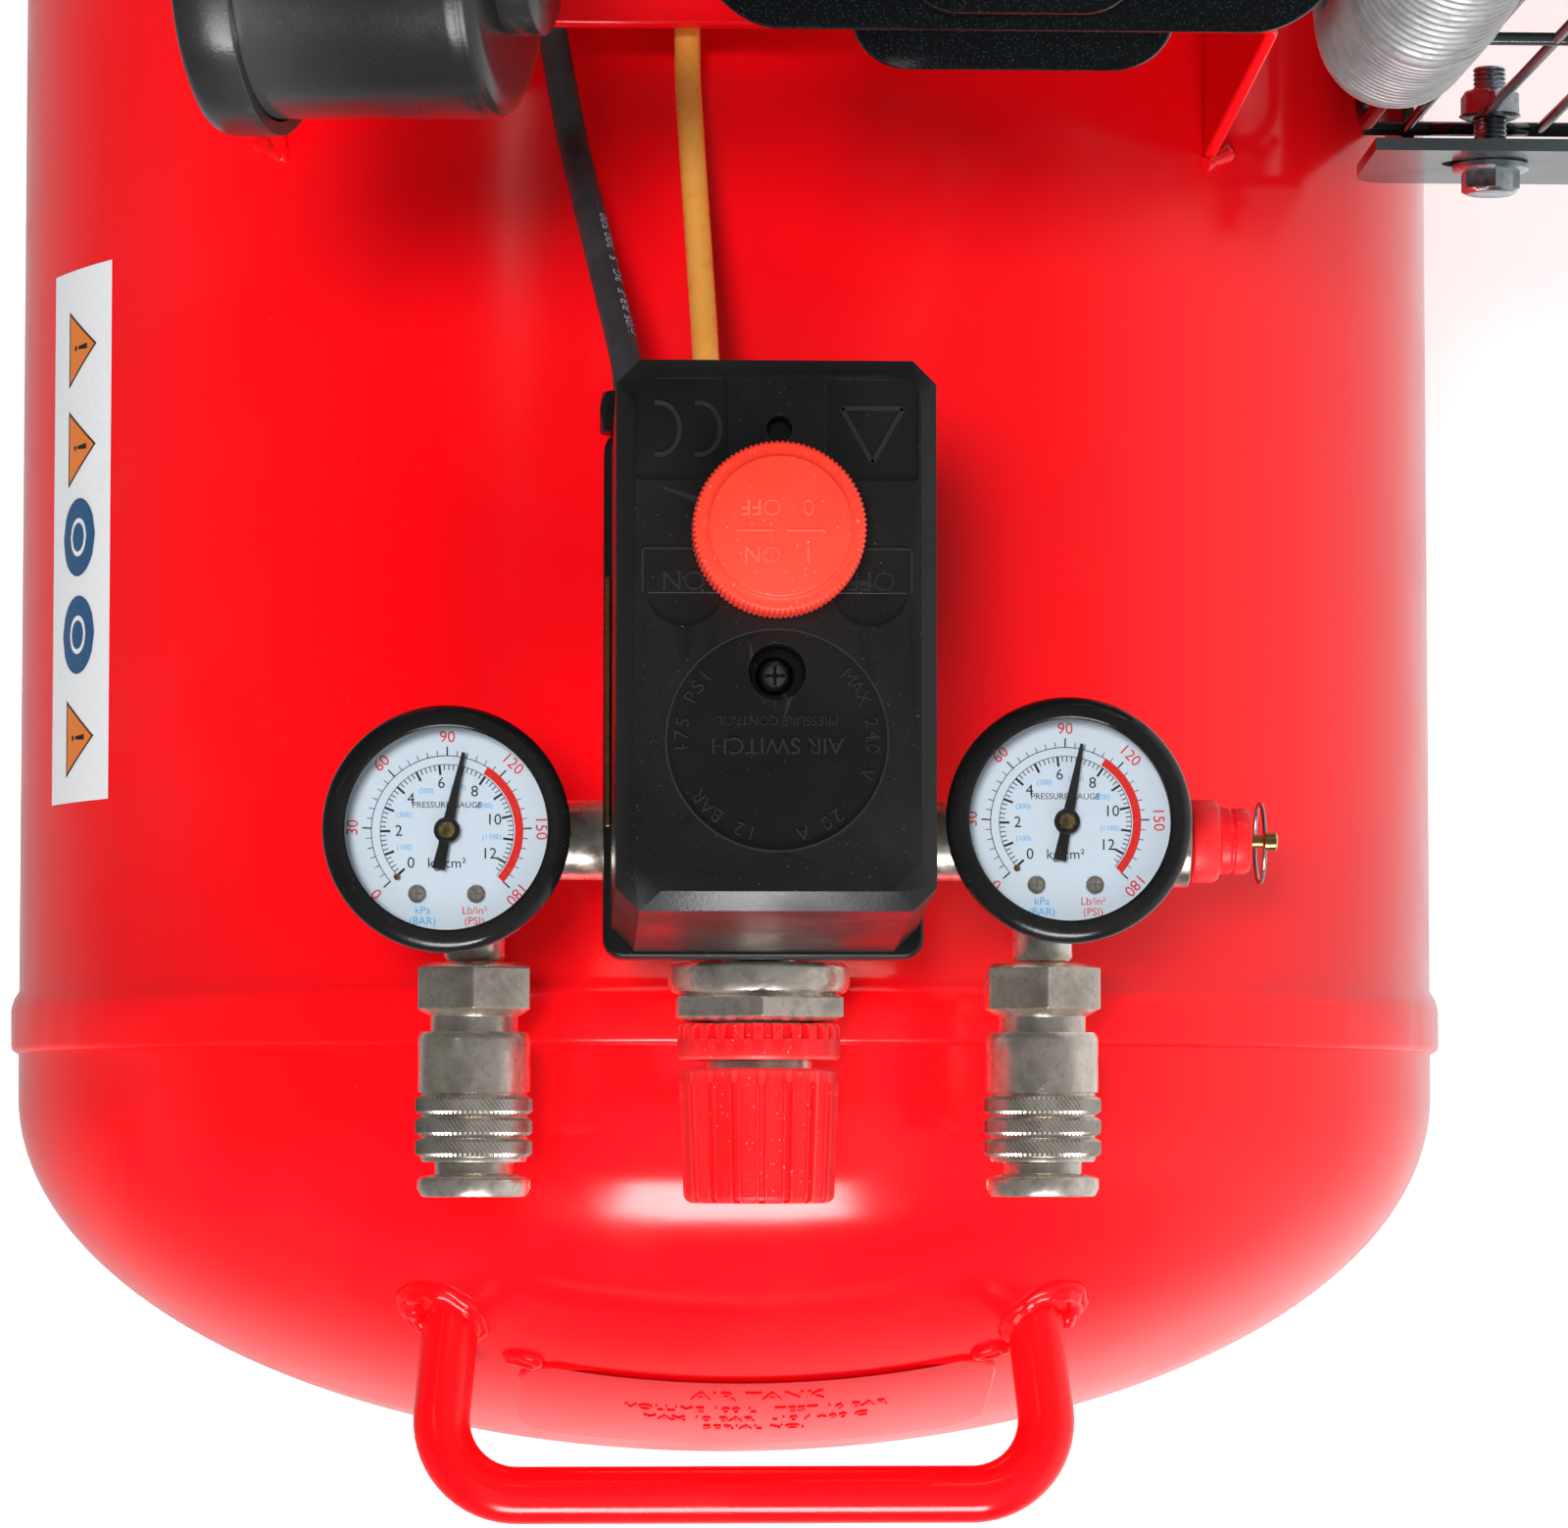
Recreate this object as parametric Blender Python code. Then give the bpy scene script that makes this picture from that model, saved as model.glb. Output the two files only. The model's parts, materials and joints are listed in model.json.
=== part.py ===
"""Belt-driven V-twin air compressor on a horizontal 100 litre tank.

The tank axis runs along Y with the handle at -Y. Sizes below are metres. Heights and the
Y positions of the named parts are measured from the tank axis and from the front weld band;
stand_on_floor() moves the finished machine so that its soles are at Z = 0.
"""

import math

import bmesh
import bpy
from mathutils import Matrix, Vector

# ---- Driving dimensions ----------------------------------------------------------------------

GAP = 0.0003

TANK_R = 0.185
TANK_WALL = 0.003
TANK_LENGTH = 0.800
TANK_SEGMENTS = 40
DOME_STEPS = 7
FLANGE = 0.018
DOME_DEPTH = 0.0925
BAND_HALF = 0.007
BAND_PROUD = 0.002

AXIS_HEIGHT = 0.300
CENTRE_Y = 0.395

HANDLE_R = 0.0068
HANDLE_HALF = 0.0740
HANDLE_REACH = -0.1135
HANDLE_Z = 0.130

MANIFOLD_Y = 0.0385
MANIFOLD_Z = 0.220
MANIFOLD_R = 0.009
COUPLER_X = 0.064
GAUGE_LEFT = (-0.0695, 0.0378)
GAUGE_RIGHT = (0.0646, 0.0400)
GAUGE_TOP = 0.282
GAUGE_R = 0.02665

SWITCH_HALF = 0.0354
SWITCH_FRONT = 0.011
SWITCH_BACK = 0.128
SWITCH_BASE_TOP = 0.247
COVER_TOP = 0.315
COVER_HALF = 0.0337
COVER_FRONT = 0.0195
COVER_BACK = 0.135
COVER_WALL = 0.0025
KNOB_Y = 0.098
KNOB_R = 0.0181
SCREW_Y = 0.069

SADDLE_HALF = 0.120
SADDLE_FOOT = 0.113
SADDLE_TOP = 0.215
SADDLE_FRONT = 0.2255
SADDLE_BACK = 0.690
PLATE = 0.003

CRANK_Y = 0.370
CRANK_Z = 0.295
THROW = 0.023
ROD_LENGTH = 0.116
BORE_R = 0.0325
FRONT_X = 0.045
REAR_X = 0.030
PAD_OUT = 0.073
DECK_OUT = 0.158
HEAD_OUT = 0.187
HEAD_HALF = 0.066
LEAN = math.radians(45)

LINK_R = 0.0160
PORT_R = 0.0072
FILTER_Y = 0.2083
FILTER_Z = 0.3849
CHECK_Y = 0.740
DRAIN_Y = 0.400
LEAD_X = -0.095
LEAD_Y = 0.497

MOTOR_Y = 0.590
MOTOR_Z = 0.298
MOTOR_R = 0.075
FLYWHEEL_R = 0.140
PULLEY_R = 0.045
BELT_X = 0.1825
BELT_TOP = 0.0062
BELT_THICK = 0.008
BELT_SLOPE = 0.278

GUARD_IN = 0.150
GUARD_OUT = 0.2345
GUARD_FRONT = 0.218
GUARD_BACK = 0.665
GUARD_LOW = 0.130
GUARD_HIGH = 0.472
WIRE = 0.003
BOLT_X = 0.180
BOLT_Z = 0.147

WHEEL_Y = 0.700
WHEEL_Z = -0.200
WHEEL_R = 0.100
LEG_Y = 0.090

# ---- Materials -------------------------------------------------------------------------------

FINISHES = {
    "red_paint": ((0.80, 0.005, 0.010, 1), 0.22, 0.0),
    "black_paint": ((0.012, 0.012, 0.013, 1), 0.30, 0.0),
    "black_plastic": ((0.018, 0.018, 0.019, 1), 0.45, 0.0),
    "gauge_black": ((0.008, 0.008, 0.009, 1), 0.15, 0.0),
    "knob_orange": ((0.95, 0.06, 0.04, 1), 0.45, 0.0),
    "regulator_red": ((0.70, 0.01, 0.015, 1), 0.35, 0.0),
    "nickel": ((0.62, 0.57, 0.50, 1), 0.22, 1.0),
    "zinc": ((0.60, 0.64, 0.68, 1), 0.28, 1.0),
    "steel": ((0.55, 0.55, 0.56, 1), 0.30, 1.0),
    "cast_iron": ((0.05, 0.05, 0.052, 1), 0.55, 0.6),
    "aluminium": ((0.70, 0.71, 0.72, 1), 0.35, 1.0),
    "copper": ((0.85, 0.36, 0.10, 1), 0.25, 1.0),
    "brass": ((0.78, 0.57, 0.22, 1), 0.25, 1.0),
    "rubber": ((0.015, 0.015, 0.015, 1), 0.75, 0.0),
    "dial_white": ((0.80, 0.88, 0.95, 1), 0.50, 0.0),
    "clear_lens": ((0.95, 0.97, 1.0, 0.3), 0.03, 0.0),
}


def finish_material(key):
    """Return the Principled material for one finish, made on first use."""
    if key in bpy.data.materials:
        return bpy.data.materials[key]
    colour, roughness, metallic = FINISHES[key]
    mat = bpy.data.materials.new(key)
    mat.use_nodes = True
    shader = mat.node_tree.nodes["Principled BSDF"]
    shader.inputs["Base Color"].default_value = colour
    shader.inputs["Roughness"].default_value = roughness
    shader.inputs["Metallic"].default_value = metallic
    shader.inputs["Alpha"].default_value = colour[3]
    return mat


# ---- Mesh helpers ----------------------------------------------------------------------------

def mesh_object(name, verts, faces, finish, location=(0, 0, 0), rotation=None):
    """Add a mesh object with outward normals and its finish."""
    mesh = bpy.data.meshes.new(name)
    mesh.from_pydata([tuple(v) for v in verts], [], faces)
    bm = bmesh.new()
    bm.from_mesh(mesh)
    bmesh.ops.recalc_face_normals(bm, faces=bm.faces)
    bm.to_mesh(mesh)
    bm.free()
    mesh.shade_smooth()
    mesh.set_sharp_from_angle(angle=math.radians(35))
    mesh.materials.append(finish_material(finish))
    obj = bpy.data.objects.new(name, mesh)
    obj.location = location
    if rotation is not None:
        obj.rotation_euler = rotation.to_euler()
    bpy.context.scene.collection.objects.link(obj)
    return obj


def loft(name, rings, finish, location=(0, 0, 0), rotation=None, closed=False):
    """Skin rings of equal point count. A one-point ring is a pole. Open ends are capped."""
    verts = []
    starts = []
    for ring in rings:
        starts.append(len(verts))
        verts.extend(ring)
    faces = []
    pairs = len(rings) if closed else len(rings) - 1
    for i in range(pairs):
        j = (i + 1) % len(rings)
        a, b = starts[i], starts[j]
        na, nb = len(rings[i]), len(rings[j])
        count = max(na, nb)
        if count == 1:
            continue
        for k in range(count):
            m = (k + 1) % count
            if na == 1:
                faces.append((a, b + m, b + k))
            elif nb == 1:
                faces.append((a + k, a + m, b))
            else:
                faces.append((a + k, a + m, b + m, b + k))
    if not closed:
        for i in (0, len(rings) - 1):
            if len(rings[i]) > 1:
                faces.append(tuple(range(starts[i], starts[i] + len(rings[i]))))
    return mesh_object(name, verts, faces, finish, location, rotation)


def along(direction):
    """Rotation that turns local +Z to the given direction."""
    return Vector(direction).to_track_quat("Z", "Y").to_matrix()


def shape_factor(shape, angle):
    """Radius multiplier of a circle, or of a hexagon with a flat side towards +X."""
    if shape != "hex":
        return 1.0
    sector = math.radians(60)
    offset = (angle + sector / 2) % sector - sector / 2
    return 1 / math.cos(offset)


def turned(name, sections, finish, location=(0, 0, 0), direction=(0, 0, 1), segments=20):
    """Turn sections (radius, height[, "hex"]) about the local Z axis into a closed body.

    A hexagon's radius is half its size across flats. A radius of 0 is a point on the axis.
    """
    rings = []
    for section in sections:
        radius, height = section[0], section[1]
        shape = section[2] if len(section) > 2 else "round"
        if radius == 0:
            rings.append([Vector((0, 0, height))])
            continue
        ring = []
        for k in range(segments):
            angle = 2 * math.pi * k / segments
            r = radius * shape_factor(shape, angle)
            ring.append(Vector((r * math.cos(angle), r * math.sin(angle), height)))
        rings.append(ring)
    return loft(name, rings, finish, location, along(direction), closed=True)


def rounded_rect(half_x, low_y, high_y, radius, z, per_corner=4):
    """Points of a rectangle with rounded corners at height z."""
    centres = (
        (half_x - radius, high_y - radius, 0),
        (-half_x + radius, high_y - radius, 90),
        (-half_x + radius, low_y + radius, 180),
        (half_x - radius, low_y + radius, 270),
    )
    ring = []
    for cx, cy, start in centres:
        for k in range(per_corner + 1):
            angle = math.radians(start + 90 * k / per_corner)
            ring.append(Vector((cx + radius * math.cos(angle), cy + radius * math.sin(angle), z)))
    return ring


def extruded(name, outline, plane, start, end, finish):
    """Extrude a 2D outline. Plane "xz" goes along Y, "yz" along X and "xy" along Z."""
    def place(point, depth):
        a, b = point
        return {"xz": (a, depth, b), "yz": (depth, a, b), "xy": (a, b, depth)}[plane]
    rings = [[Vector(place(p, depth)) for p in outline] for depth in (start, end)]
    return loft(name, rings, finish)


def block(name, low, high, finish):
    """A plain box between two corners."""
    outline = ((low[0], low[1]), (high[0], low[1]), (high[0], high[1]), (low[0], high[1]))
    return extruded(name, outline, "xy", low[2], high[2], finish)


def bend_corners(points, radius, steps=6):
    """Round every inner corner of a path with an arc of the given radius."""
    pts = [Vector(p) for p in points]
    path = [pts[0]]
    for before, corner, after in zip(pts, pts[1:], pts[2:]):
        u = (before - corner).normalized()
        v = (after - corner).normalized()
        half = u.angle(v) / 2
        reach = radius / math.tan(half)
        centre = corner + (u + v).normalized() * radius / math.sin(half)
        first = (corner + u * reach - centre).normalized()
        last = (corner + v * reach - centre).normalized()
        for k in range(steps + 1):
            path.append(centre + first.slerp(last, k / steps) * radius)
    path.append(pts[-1])
    return path


def swept(name, path, radius, finish, sides=12):
    """Sweep a round section along a path; radius is a number or a list with one per point."""
    rings = []
    normal = None
    for i, point in enumerate(path):
        ahead = path[min(i + 1, len(path) - 1)]
        behind = path[max(i - 1, 0)]
        tangent = (ahead - behind).normalized()
        if normal is None:
            normal = tangent.orthogonal().normalized()
        normal = (normal - tangent * normal.dot(tangent)).normalized()
        side = tangent.cross(normal)
        reach = radius[i] if isinstance(radius, list) else radius
        ring = []
        for k in range(sides):
            angle = 2 * math.pi * k / sides
            ring.append(point + reach * (normal * math.cos(angle) + side * math.sin(angle)))
        rings.append(ring)
    return loft(name, rings, finish)


def boolean(target, tool, operation):
    """Cut or join one object with another, which stays as a hidden helper."""
    mod = target.modifiers.new(operation.title(), "BOOLEAN")
    mod.operation = operation
    mod.solver = "EXACT"
    mod.object = tool
    tool.hide_render = True
    tool.display_type = "WIRE"


def drill(target, name, radius, location, direction, depth, segments=20):
    """Cut a round hole that starts at location and runs along direction."""
    tool = turned(
        name,
        ((0, 0), (radius, 0), (radius, depth), (0, depth)),
        "steel",
        location,
        direction,
        segments,
    )
    boolean(target, tool, "DIFFERENCE")


# ---- Tank and frame --------------------------------------------------------------------------

def tank_circle(x):
    """Height of the tank's skin above its axis at side position x, plus the gap."""
    return math.sqrt((TANK_R + GAP) ** 2 - x * x)


def tank_shell():
    """Rolled tube whose belled ends make the raised weld bands."""
    lip = TANK_R + GAP
    band = TANK_R + BAND_PROUD
    inner = TANK_R - TANK_WALL
    end = TANK_LENGTH
    shell = turned(
        "tank_shell",
        (
            (lip, -BAND_HALF), (band, -BAND_HALF), (band, BAND_HALF), (TANK_R, BAND_HALF + 0.002),
            (TANK_R, end - BAND_HALF - 0.002), (band, end - BAND_HALF), (band, end + BAND_HALF),
            (lip, end + BAND_HALF), (lip, end), (inner, end), (inner, 0), (lip, 0),
        ),
        "red_paint",
        direction=(0, 1, 0),
        segments=TANK_SEGMENTS,
    )
    drill(shell, "cut_riser", 0.0088, (0, MANIFOLD_Y, 0.16), (0, 0, 1), 0.05)
    drill(shell, "cut_check", 0.0108, (0, CHECK_Y, 0.16), (0, 0, 1), 0.05)
    drill(shell, "cut_drain", 0.0088, (0, DRAIN_Y, -0.16), (0, 0, -1), 0.05)


def dome_sections(grow, start, steps=DOME_STEPS):
    """Outer half-profile of a head from its rim to its pole."""
    sections = [(TANK_R + grow, start), (TANK_R + grow, FLANGE)]
    for k in range(1, steps + 1):
        angle = math.radians(90 * k / steps)
        radius = (TANK_R + grow) * math.cos(angle) if k < steps else 0
        sections.append((radius, FLANGE + (DOME_DEPTH + grow) * math.sin(angle)))
    return sections


def tank_head(name, y, direction):
    """Pressed dome with a straight flange, open to the shell."""
    outside = dome_sections(0, GAP)
    inside = list(reversed(dome_sections(-TANK_WALL - 0.002, GAP, 5)))
    turned(name, outside + inside, "red_paint", (0, y, 0), direction, TANK_SEGMENTS)


def front_handle():
    """Bent rod whose ends meet the dome."""
    path = bend_corners(
        (
            (-HANDLE_HALF + 0.004, -0.050, HANDLE_Z - 0.004),
            (-HANDLE_HALF - 0.002, HANDLE_REACH, HANDLE_Z + 0.010),
            (HANDLE_HALF + 0.002, HANDLE_REACH, HANDLE_Z + 0.010),
            (HANDLE_HALF - 0.004, -0.050, HANDLE_Z - 0.004),
        ),
        0.018,
    )
    handle = swept("front_handle", path, HANDLE_R, "red_paint")
    tool = turned(
        "cut_handle",
        [(0, -0.1)] + [(TANK_R + GAP, -0.1)] + dome_sections(GAP, 0),
        "steel",
        direction=(0, -1, 0),
        segments=TANK_SEGMENTS,
    )
    boolean(handle, tool, "DIFFERENCE")


def tank_channel(name, half, plate_z, foot_x, front, back, flare, finish):
    """Folded plate on two sloping legs that reach the tank, above or below it."""
    sign = 1 if plate_z > 0 else -1
    top = abs(plate_z)
    outer = tank_circle(foot_x)
    inner = tank_circle(foot_x - PLATE)
    section = (
        (-half, top), (half, top), (foot_x, outer), (foot_x - PLATE, inner),
        (half - PLATE, top - PLATE), (-half + PLATE, top - PLATE),
        (-foot_x + PLATE, inner), (-foot_x, outer),
    )
    rings = []
    for y, outward in ((front, -1), (back, 1)):
        ring = []
        for x, z in section:
            slope = flare * (top - z) / (top - outer)
            ring.append(Vector((x, y + outward * slope, sign * z)))
        rings.append(ring)
    return loft(name, rings, finish)


def saddle():
    """Platform for the pump and motor, with a hole for the motor lead."""
    plate = tank_channel(
        "saddle", SADDLE_HALF, SADDLE_TOP, SADDLE_FOOT, SADDLE_FRONT, SADDLE_BACK, 0.019, "red_paint"
    )
    drill(plate, "cut_lead", 0.006, (LEAD_X, LEAD_Y, 0.20), (0, 0, 1), 0.03, 24)


def front_leg_and_feet():
    """Bent leg under the front of the tank with a rubber buffer at each side."""
    tank_channel("front_leg", 0.130, -0.274, 0.095, LEG_Y - 0.03, LEG_Y + 0.03, 0, "red_paint")
    for name, x in (("foot_left", -0.100), ("foot_right", 0.100)):
        top = -0.274 - GAP
        turned(
            name,
            ((0, -AXIS_HEIGHT), (0.020, -AXIS_HEIGHT), (0.022, -0.298), (0.025, top), (0, top)),
            "rubber",
            (x, LEG_Y, 0),
        )


def axle_bracket():
    """Bent bracket under the rear of the tank with the axle welded through it."""
    bracket = tank_channel(
        "axle_bracket", 0.104, -0.222, 0.090, WHEEL_Y - 0.02, WHEEL_Y + 0.02, 0, "red_paint"
    )
    axle = turned(
        "join_axle",
        (
            (0, -0.2363), (0.013, -0.2363), (0.013, -0.2333), (0.008, -0.2333),
            (0.008, 0.2333), (0.013, 0.2333), (0.013, 0.2363), (0, 0.2363),
        ),
        "zinc",
        (0, WHEEL_Y, WHEEL_Z),
        (1, 0, 0),
    )
    boolean(bracket, axle, "UNION")


def wheel(name, side):
    """Solid wheel with a hub, a thin web and a round-shouldered tyre."""
    turned(
        name,
        (
            (0.0083, 0.196), (0.020, 0.196), (0.022, 0.207), (0.068, 0.207), (0.072, 0.196),
            (0.092, 0.196), (WHEEL_R, 0.206), (WHEEL_R, 0.221), (0.092, 0.232), (0.072, 0.231),
            (0.068, 0.220), (0.022, 0.220), (0.020, 0.232), (0.0083, 0.232),
        ),
        "rubber",
        (0, WHEEL_Y, WHEEL_Z),
        (side, 0, 0),
        22,
    )


def drain_valve():
    """Thumb screw in the bottom of the tank."""
    turned(
        "drain_valve",
        (
            (0, -0.179), (0.0085, -0.179), (0.0085, -0.1858), (0.013, -0.1858, "hex"),
            (0.013, -0.196, "hex"), (0.006, -0.198), (0.006, -0.203), (0.010, -0.204),
            (0.010, -0.214), (0, -0.214),
        ),
        "brass",
        (0, DRAIN_Y, 0),
        segments=24,
    )


# ---- Air outlet ------------------------------------------------------------------------------

def manifold():
    """Cross pipe with a riser from the tank and bosses for gauges and couplers."""
    pipe = turned(
        "manifold",
        ((0, -0.082), (0.0115, -0.080), (0.0115, -0.054), (MANIFOLD_R, -0.052),
         (MANIFOLD_R, 0.049), (0.0115, 0.051), (0.0115, 0.078), (0.0105, 0.080),
         (0.0105, 0.097), (0, 0.097)),
        "nickel",
        (0, MANIFOLD_Y, MANIFOLD_Z),
        (1, 0, 0),
        16,
    )
    bosses = [("join_riser", (0, MANIFOLD_Y), (0, 0, -1), 0.0085, 0.040)]
    for tag, x, gauge in (("left", -COUPLER_X, GAUGE_LEFT), ("right", COUPLER_X, GAUGE_RIGHT)):
        bosses.append(("join_port_" + tag, (x, MANIFOLD_Y), (0, -1, 0), 0.0068, 0.0272))
        bosses.append(("join_boss_" + tag, (gauge[0], MANIFOLD_Y), (0, 0, 1), 0.0078, 0.0137))
    for name, (x, y), direction, radius, reach in bosses:
        boss = turned(
            name,
            ((0, 0.001), (radius, 0.001), (radius, reach), (0, reach)),
            "nickel",
            (x, y, MANIFOLD_Z),
            direction,
            12,
        )
        boolean(pipe, boss, "UNION")


def gauge(side, centre, reading):
    """Case, dial, needle and lens of one pressure gauge, face up."""
    x, y = centre
    turned(
        "gauge_case_" + side,
        (
            (0, 0.234), (0.0055, 0.234), (0.0055, 0.246), (0.007, 0.246, "hex"),
            (0.007, 0.2560, "hex"), (0.0248, 0.2570), (0.0248, 0.2745), (GAUGE_R, 0.2755),
            (GAUGE_R, 0.2800), (0.0253, GAUGE_TOP), (0.0218, GAUGE_TOP), (0.0218, 0.2803),
            (0.0232, 0.2803), (0.0232, 0.2690), (0, 0.2690),
        ),
        "gauge_black",
        (x, y, 0),
        segments=24,
    )
    turned(
        "gauge_dial_" + side,
        ((0.0013, 0.2693), (0.0229, 0.2693), (0.0229, 0.2701), (0.0013, 0.2701)),
        "dial_white",
        (x, y, 0),
        segments=24,
    )
    turned(
        "gauge_lens_" + side,
        ((0, 0.2785), (0.0229, 0.2785), (0.0229, 0.2800), (0, 0.2800)),
        "clear_lens",
        (x, y, 0),
        segments=24,
    )
    needle(side, (x, y, 0), reading)


def needle(side, location, reading):
    """Pointer with a round hub, a broad tail and a spindle."""
    outline = [(0.0003, 0.0170), (-0.0003, 0.0170)]
    for k in range(9):
        angle = math.radians(110 + 140 * k / 8)
        outline.append((0.0025 * math.cos(angle), 0.0025 * math.sin(angle)))
    outline += [(-0.0014, -0.0075), (0.0014, -0.0075)]
    for k in range(9):
        angle = math.radians(-70 + 140 * k / 8)
        outline.append((0.0025 * math.cos(angle), 0.0025 * math.sin(angle)))
    pointer = extruded("gauge_needle_" + side, outline, "xy", 0.2735, 0.2742, "gauge_black")
    spindle = turned(
        "join_spindle_" + side,
        ((0, 0.2695), (0.0009, 0.2695), (0.0009, 0.2732), (0.0018, 0.2738), (0.0018, 0.2755),
         (0, 0.2758)),
        "brass",
        segments=16,
    )
    boolean(pointer, spindle, "UNION")
    for obj in (pointer, spindle):
        obj.location = location
        obj.rotation_euler = (0, 0, math.radians(-reading))


def coupler(side, x):
    """Quick coupler: hexagon, socket and sliding sleeve, facing the handle."""
    location = (x, SWITCH_FRONT, MANIFOLD_Z)
    turned(
        "coupler_body_" + side,
        (
            (0, 0), (0.0115, 0), (0.0125, 0.0008, "hex"), (0.0125, 0.0112, "hex"), (0.0115, 0.012),
            (0.0098, 0.0122), (0.0098, 0.0440), (0.0088, 0.0450), (0.0088, 0.0478),
            (0.01265, 0.0482), (0.01265, 0.0520), (0.0120, 0.0526), (0.0062, 0.0526),
            (0.0055, 0.0510), (0.0055, 0.0260), (0, 0.0250),
        ),
        "nickel",
        location,
        (0, -1, 0),
        24,
    )
    turned(
        "coupler_sleeve_" + side,
        (
            (0.0101, 0.0158), (0.0120, 0.0158), (0.0126, 0.0166), (0.0126, 0.0290),
            (0.0132, 0.0295), (0.0132, 0.0442), (0.0125, 0.0448), (0.0101, 0.0448),
        ),
        "nickel",
        location,
        (0, -1, 0),
        24,
    )


def regulator():
    """Regulator body, its lock ring and its hollow knob."""
    face = MANIFOLD_Y - MANIFOLD_R - GAP
    at = (0, 0, MANIFOLD_Z)
    turned(
        "regulator_body",
        (
            (0, -face), (0.0085, -face), (0.0085, -0.0107), (0.0200, -0.0107), (0.0205, -0.0060),
            (0.0195, -0.0037), (0.0185, -0.0033, "hex"), (0.0185, 0.0023, "hex"),
            (0.0120, 0.0026), (0.0120, 0.0290), (0, 0.0290),
        ),
        "nickel",
        at,
        (0, -1, 0),
        24,
    )
    turned(
        "regulator_lock_ring",
        ((0.0123, 0.0030), (0.0180, 0.0030), (0.0184, 0.0036), (0.0184, 0.0104), (0.0180, 0.0110),
         (0.0123, 0.0110)),
        "regulator_red",
        at,
        (0, -1, 0),
        24,
    )
    turned(
        "regulator_knob",
        (
            (0.0125, 0.0130), (0.0176, 0.0130), (0.0178, 0.0138), (0.0166, 0.0420),
            (0.0155, 0.0430), (0, 0.0430), (0, 0.0310), (0.0125, 0.0310),
        ),
        "regulator_red",
        at,
        (0, -1, 0),
        24,
    )


def safety_valve():
    """Red relief valve with a sprung pull pin and its ring."""
    turned(
        "safety_valve_body",
        (
            (0, 0.0973), (0.0094, 0.0973), (0.0094, 0.1034), (0.0075, 0.1040), (0.0075, 0.1100),
            (0.0068, 0.1110), (0.0018, 0.1110), (0.0018, 0.1000), (0, 0.1000),
        ),
        "regulator_red",
        (0, MANIFOLD_Y, MANIFOLD_Z),
        (1, 0, 0),
        24,
    )
    pin = turned(
        "safety_valve_pin",
        (
            (0, 0.1005), (0.0015, 0.1005), (0.0015, 0.1168), (0.0010, 0.1175), (0, 0.1175),
        ),
        "brass",
        (0, MANIFOLD_Y, MANIFOLD_Z),
        (1, 0, 0),
        16,
    )
    drill(pin, "cut_ring_hole", 0.0010, (0.1147, MANIFOLD_Y - 0.004, MANIFOLD_Z), (0, 1, 0), 0.008, 12)
    pull_ring()


def pull_ring():
    """Wire ring that hangs from the hole in the pin; its origin is in that hole."""
    ring_r = 0.0090
    wire_r = 0.0005
    rings = []
    for k in range(20):
        angle = 2 * math.pi * k / 20
        out = Vector((0, math.sin(angle), math.cos(angle)))
        centre = out * ring_r - Vector((0, 0, ring_r))
        ring = []
        for m in range(5):
            turn = 2 * math.pi * m / 5
            ring.append(centre + wire_r * (out * math.cos(turn) + Vector((math.sin(turn), 0, 0))))
        rings.append(ring)
    loft("safety_valve_ring", rings, "steel", (0.1147, MANIFOLD_Y, MANIFOLD_Z), closed=True)


def switch_base():
    """Base tray with the raised contact block that the cover screw goes into."""
    def slab(half, front, back, z):
        return rounded_rect(half, front, back, 0.004, z, 2)
    low = MANIFOLD_Z + 0.0115 + GAP
    base = loft(
        "switch_base",
        (
            slab(SWITCH_HALF - 0.001, SWITCH_FRONT + 0.001, SWITCH_BACK - 0.001, low),
            slab(SWITCH_HALF, SWITCH_FRONT, SWITCH_BACK, low + 0.001),
            slab(SWITCH_HALF, SWITCH_FRONT, SWITCH_BACK, SWITCH_BASE_TOP),
            slab(0.022, 0.030, 0.086, SWITCH_BASE_TOP),
            slab(0.022, 0.030, 0.086, 0.300),
        ),
        "black_plastic",
    )
    drill(base, "cut_screw", 0.0018, (0, SCREW_Y, 0.270), (0, 0, 1), 0.04, 16)


def cover_ring(grow, low_y, high_y, cut, z):
    """Rectangle with cut corners at height z."""
    half = COVER_HALF + grow
    return [
        Vector(p + (z,))
        for p in (
            (half, low_y + cut), (half, high_y - cut), (half - cut, high_y), (-half + cut, high_y),
            (-half, high_y - cut), (-half, low_y + cut), (-half + cut, low_y), (half - cut, low_y),
        )
    ]


def switch_cover():
    """Hollow cover with holes for the knob's stem and the screw."""
    bottom = SWITCH_BASE_TOP + GAP
    foot_front = 0.0125
    foot_back = 0.1275
    wall = COVER_WALL
    cover = loft(
        "switch_cover",
        (
            cover_ring(-wall - 0.0005, COVER_FRONT + wall, COVER_BACK - wall, 0.004, COVER_TOP - wall),
            cover_ring(-wall, foot_front + wall, foot_back - wall, 0.004, bottom),
            cover_ring(0, foot_front, foot_back, 0.005, bottom),
            cover_ring(0, COVER_FRONT - 0.0005, COVER_BACK, 0.005, COVER_TOP - 0.0035),
            cover_ring(-0.0035, COVER_FRONT + 0.0035, COVER_BACK - 0.0035, 0.006, COVER_TOP),
        ),
        "black_plastic",
    )
    drill(cover, "cut_knob_hole", 0.0080, (0, KNOB_Y, 0.300), (0, 0, 1), 0.03)
    drill(cover, "cut_screw_hole", 0.0060, (0, SCREW_Y, 0.300), (0, 0, 1), 0.03)


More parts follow.
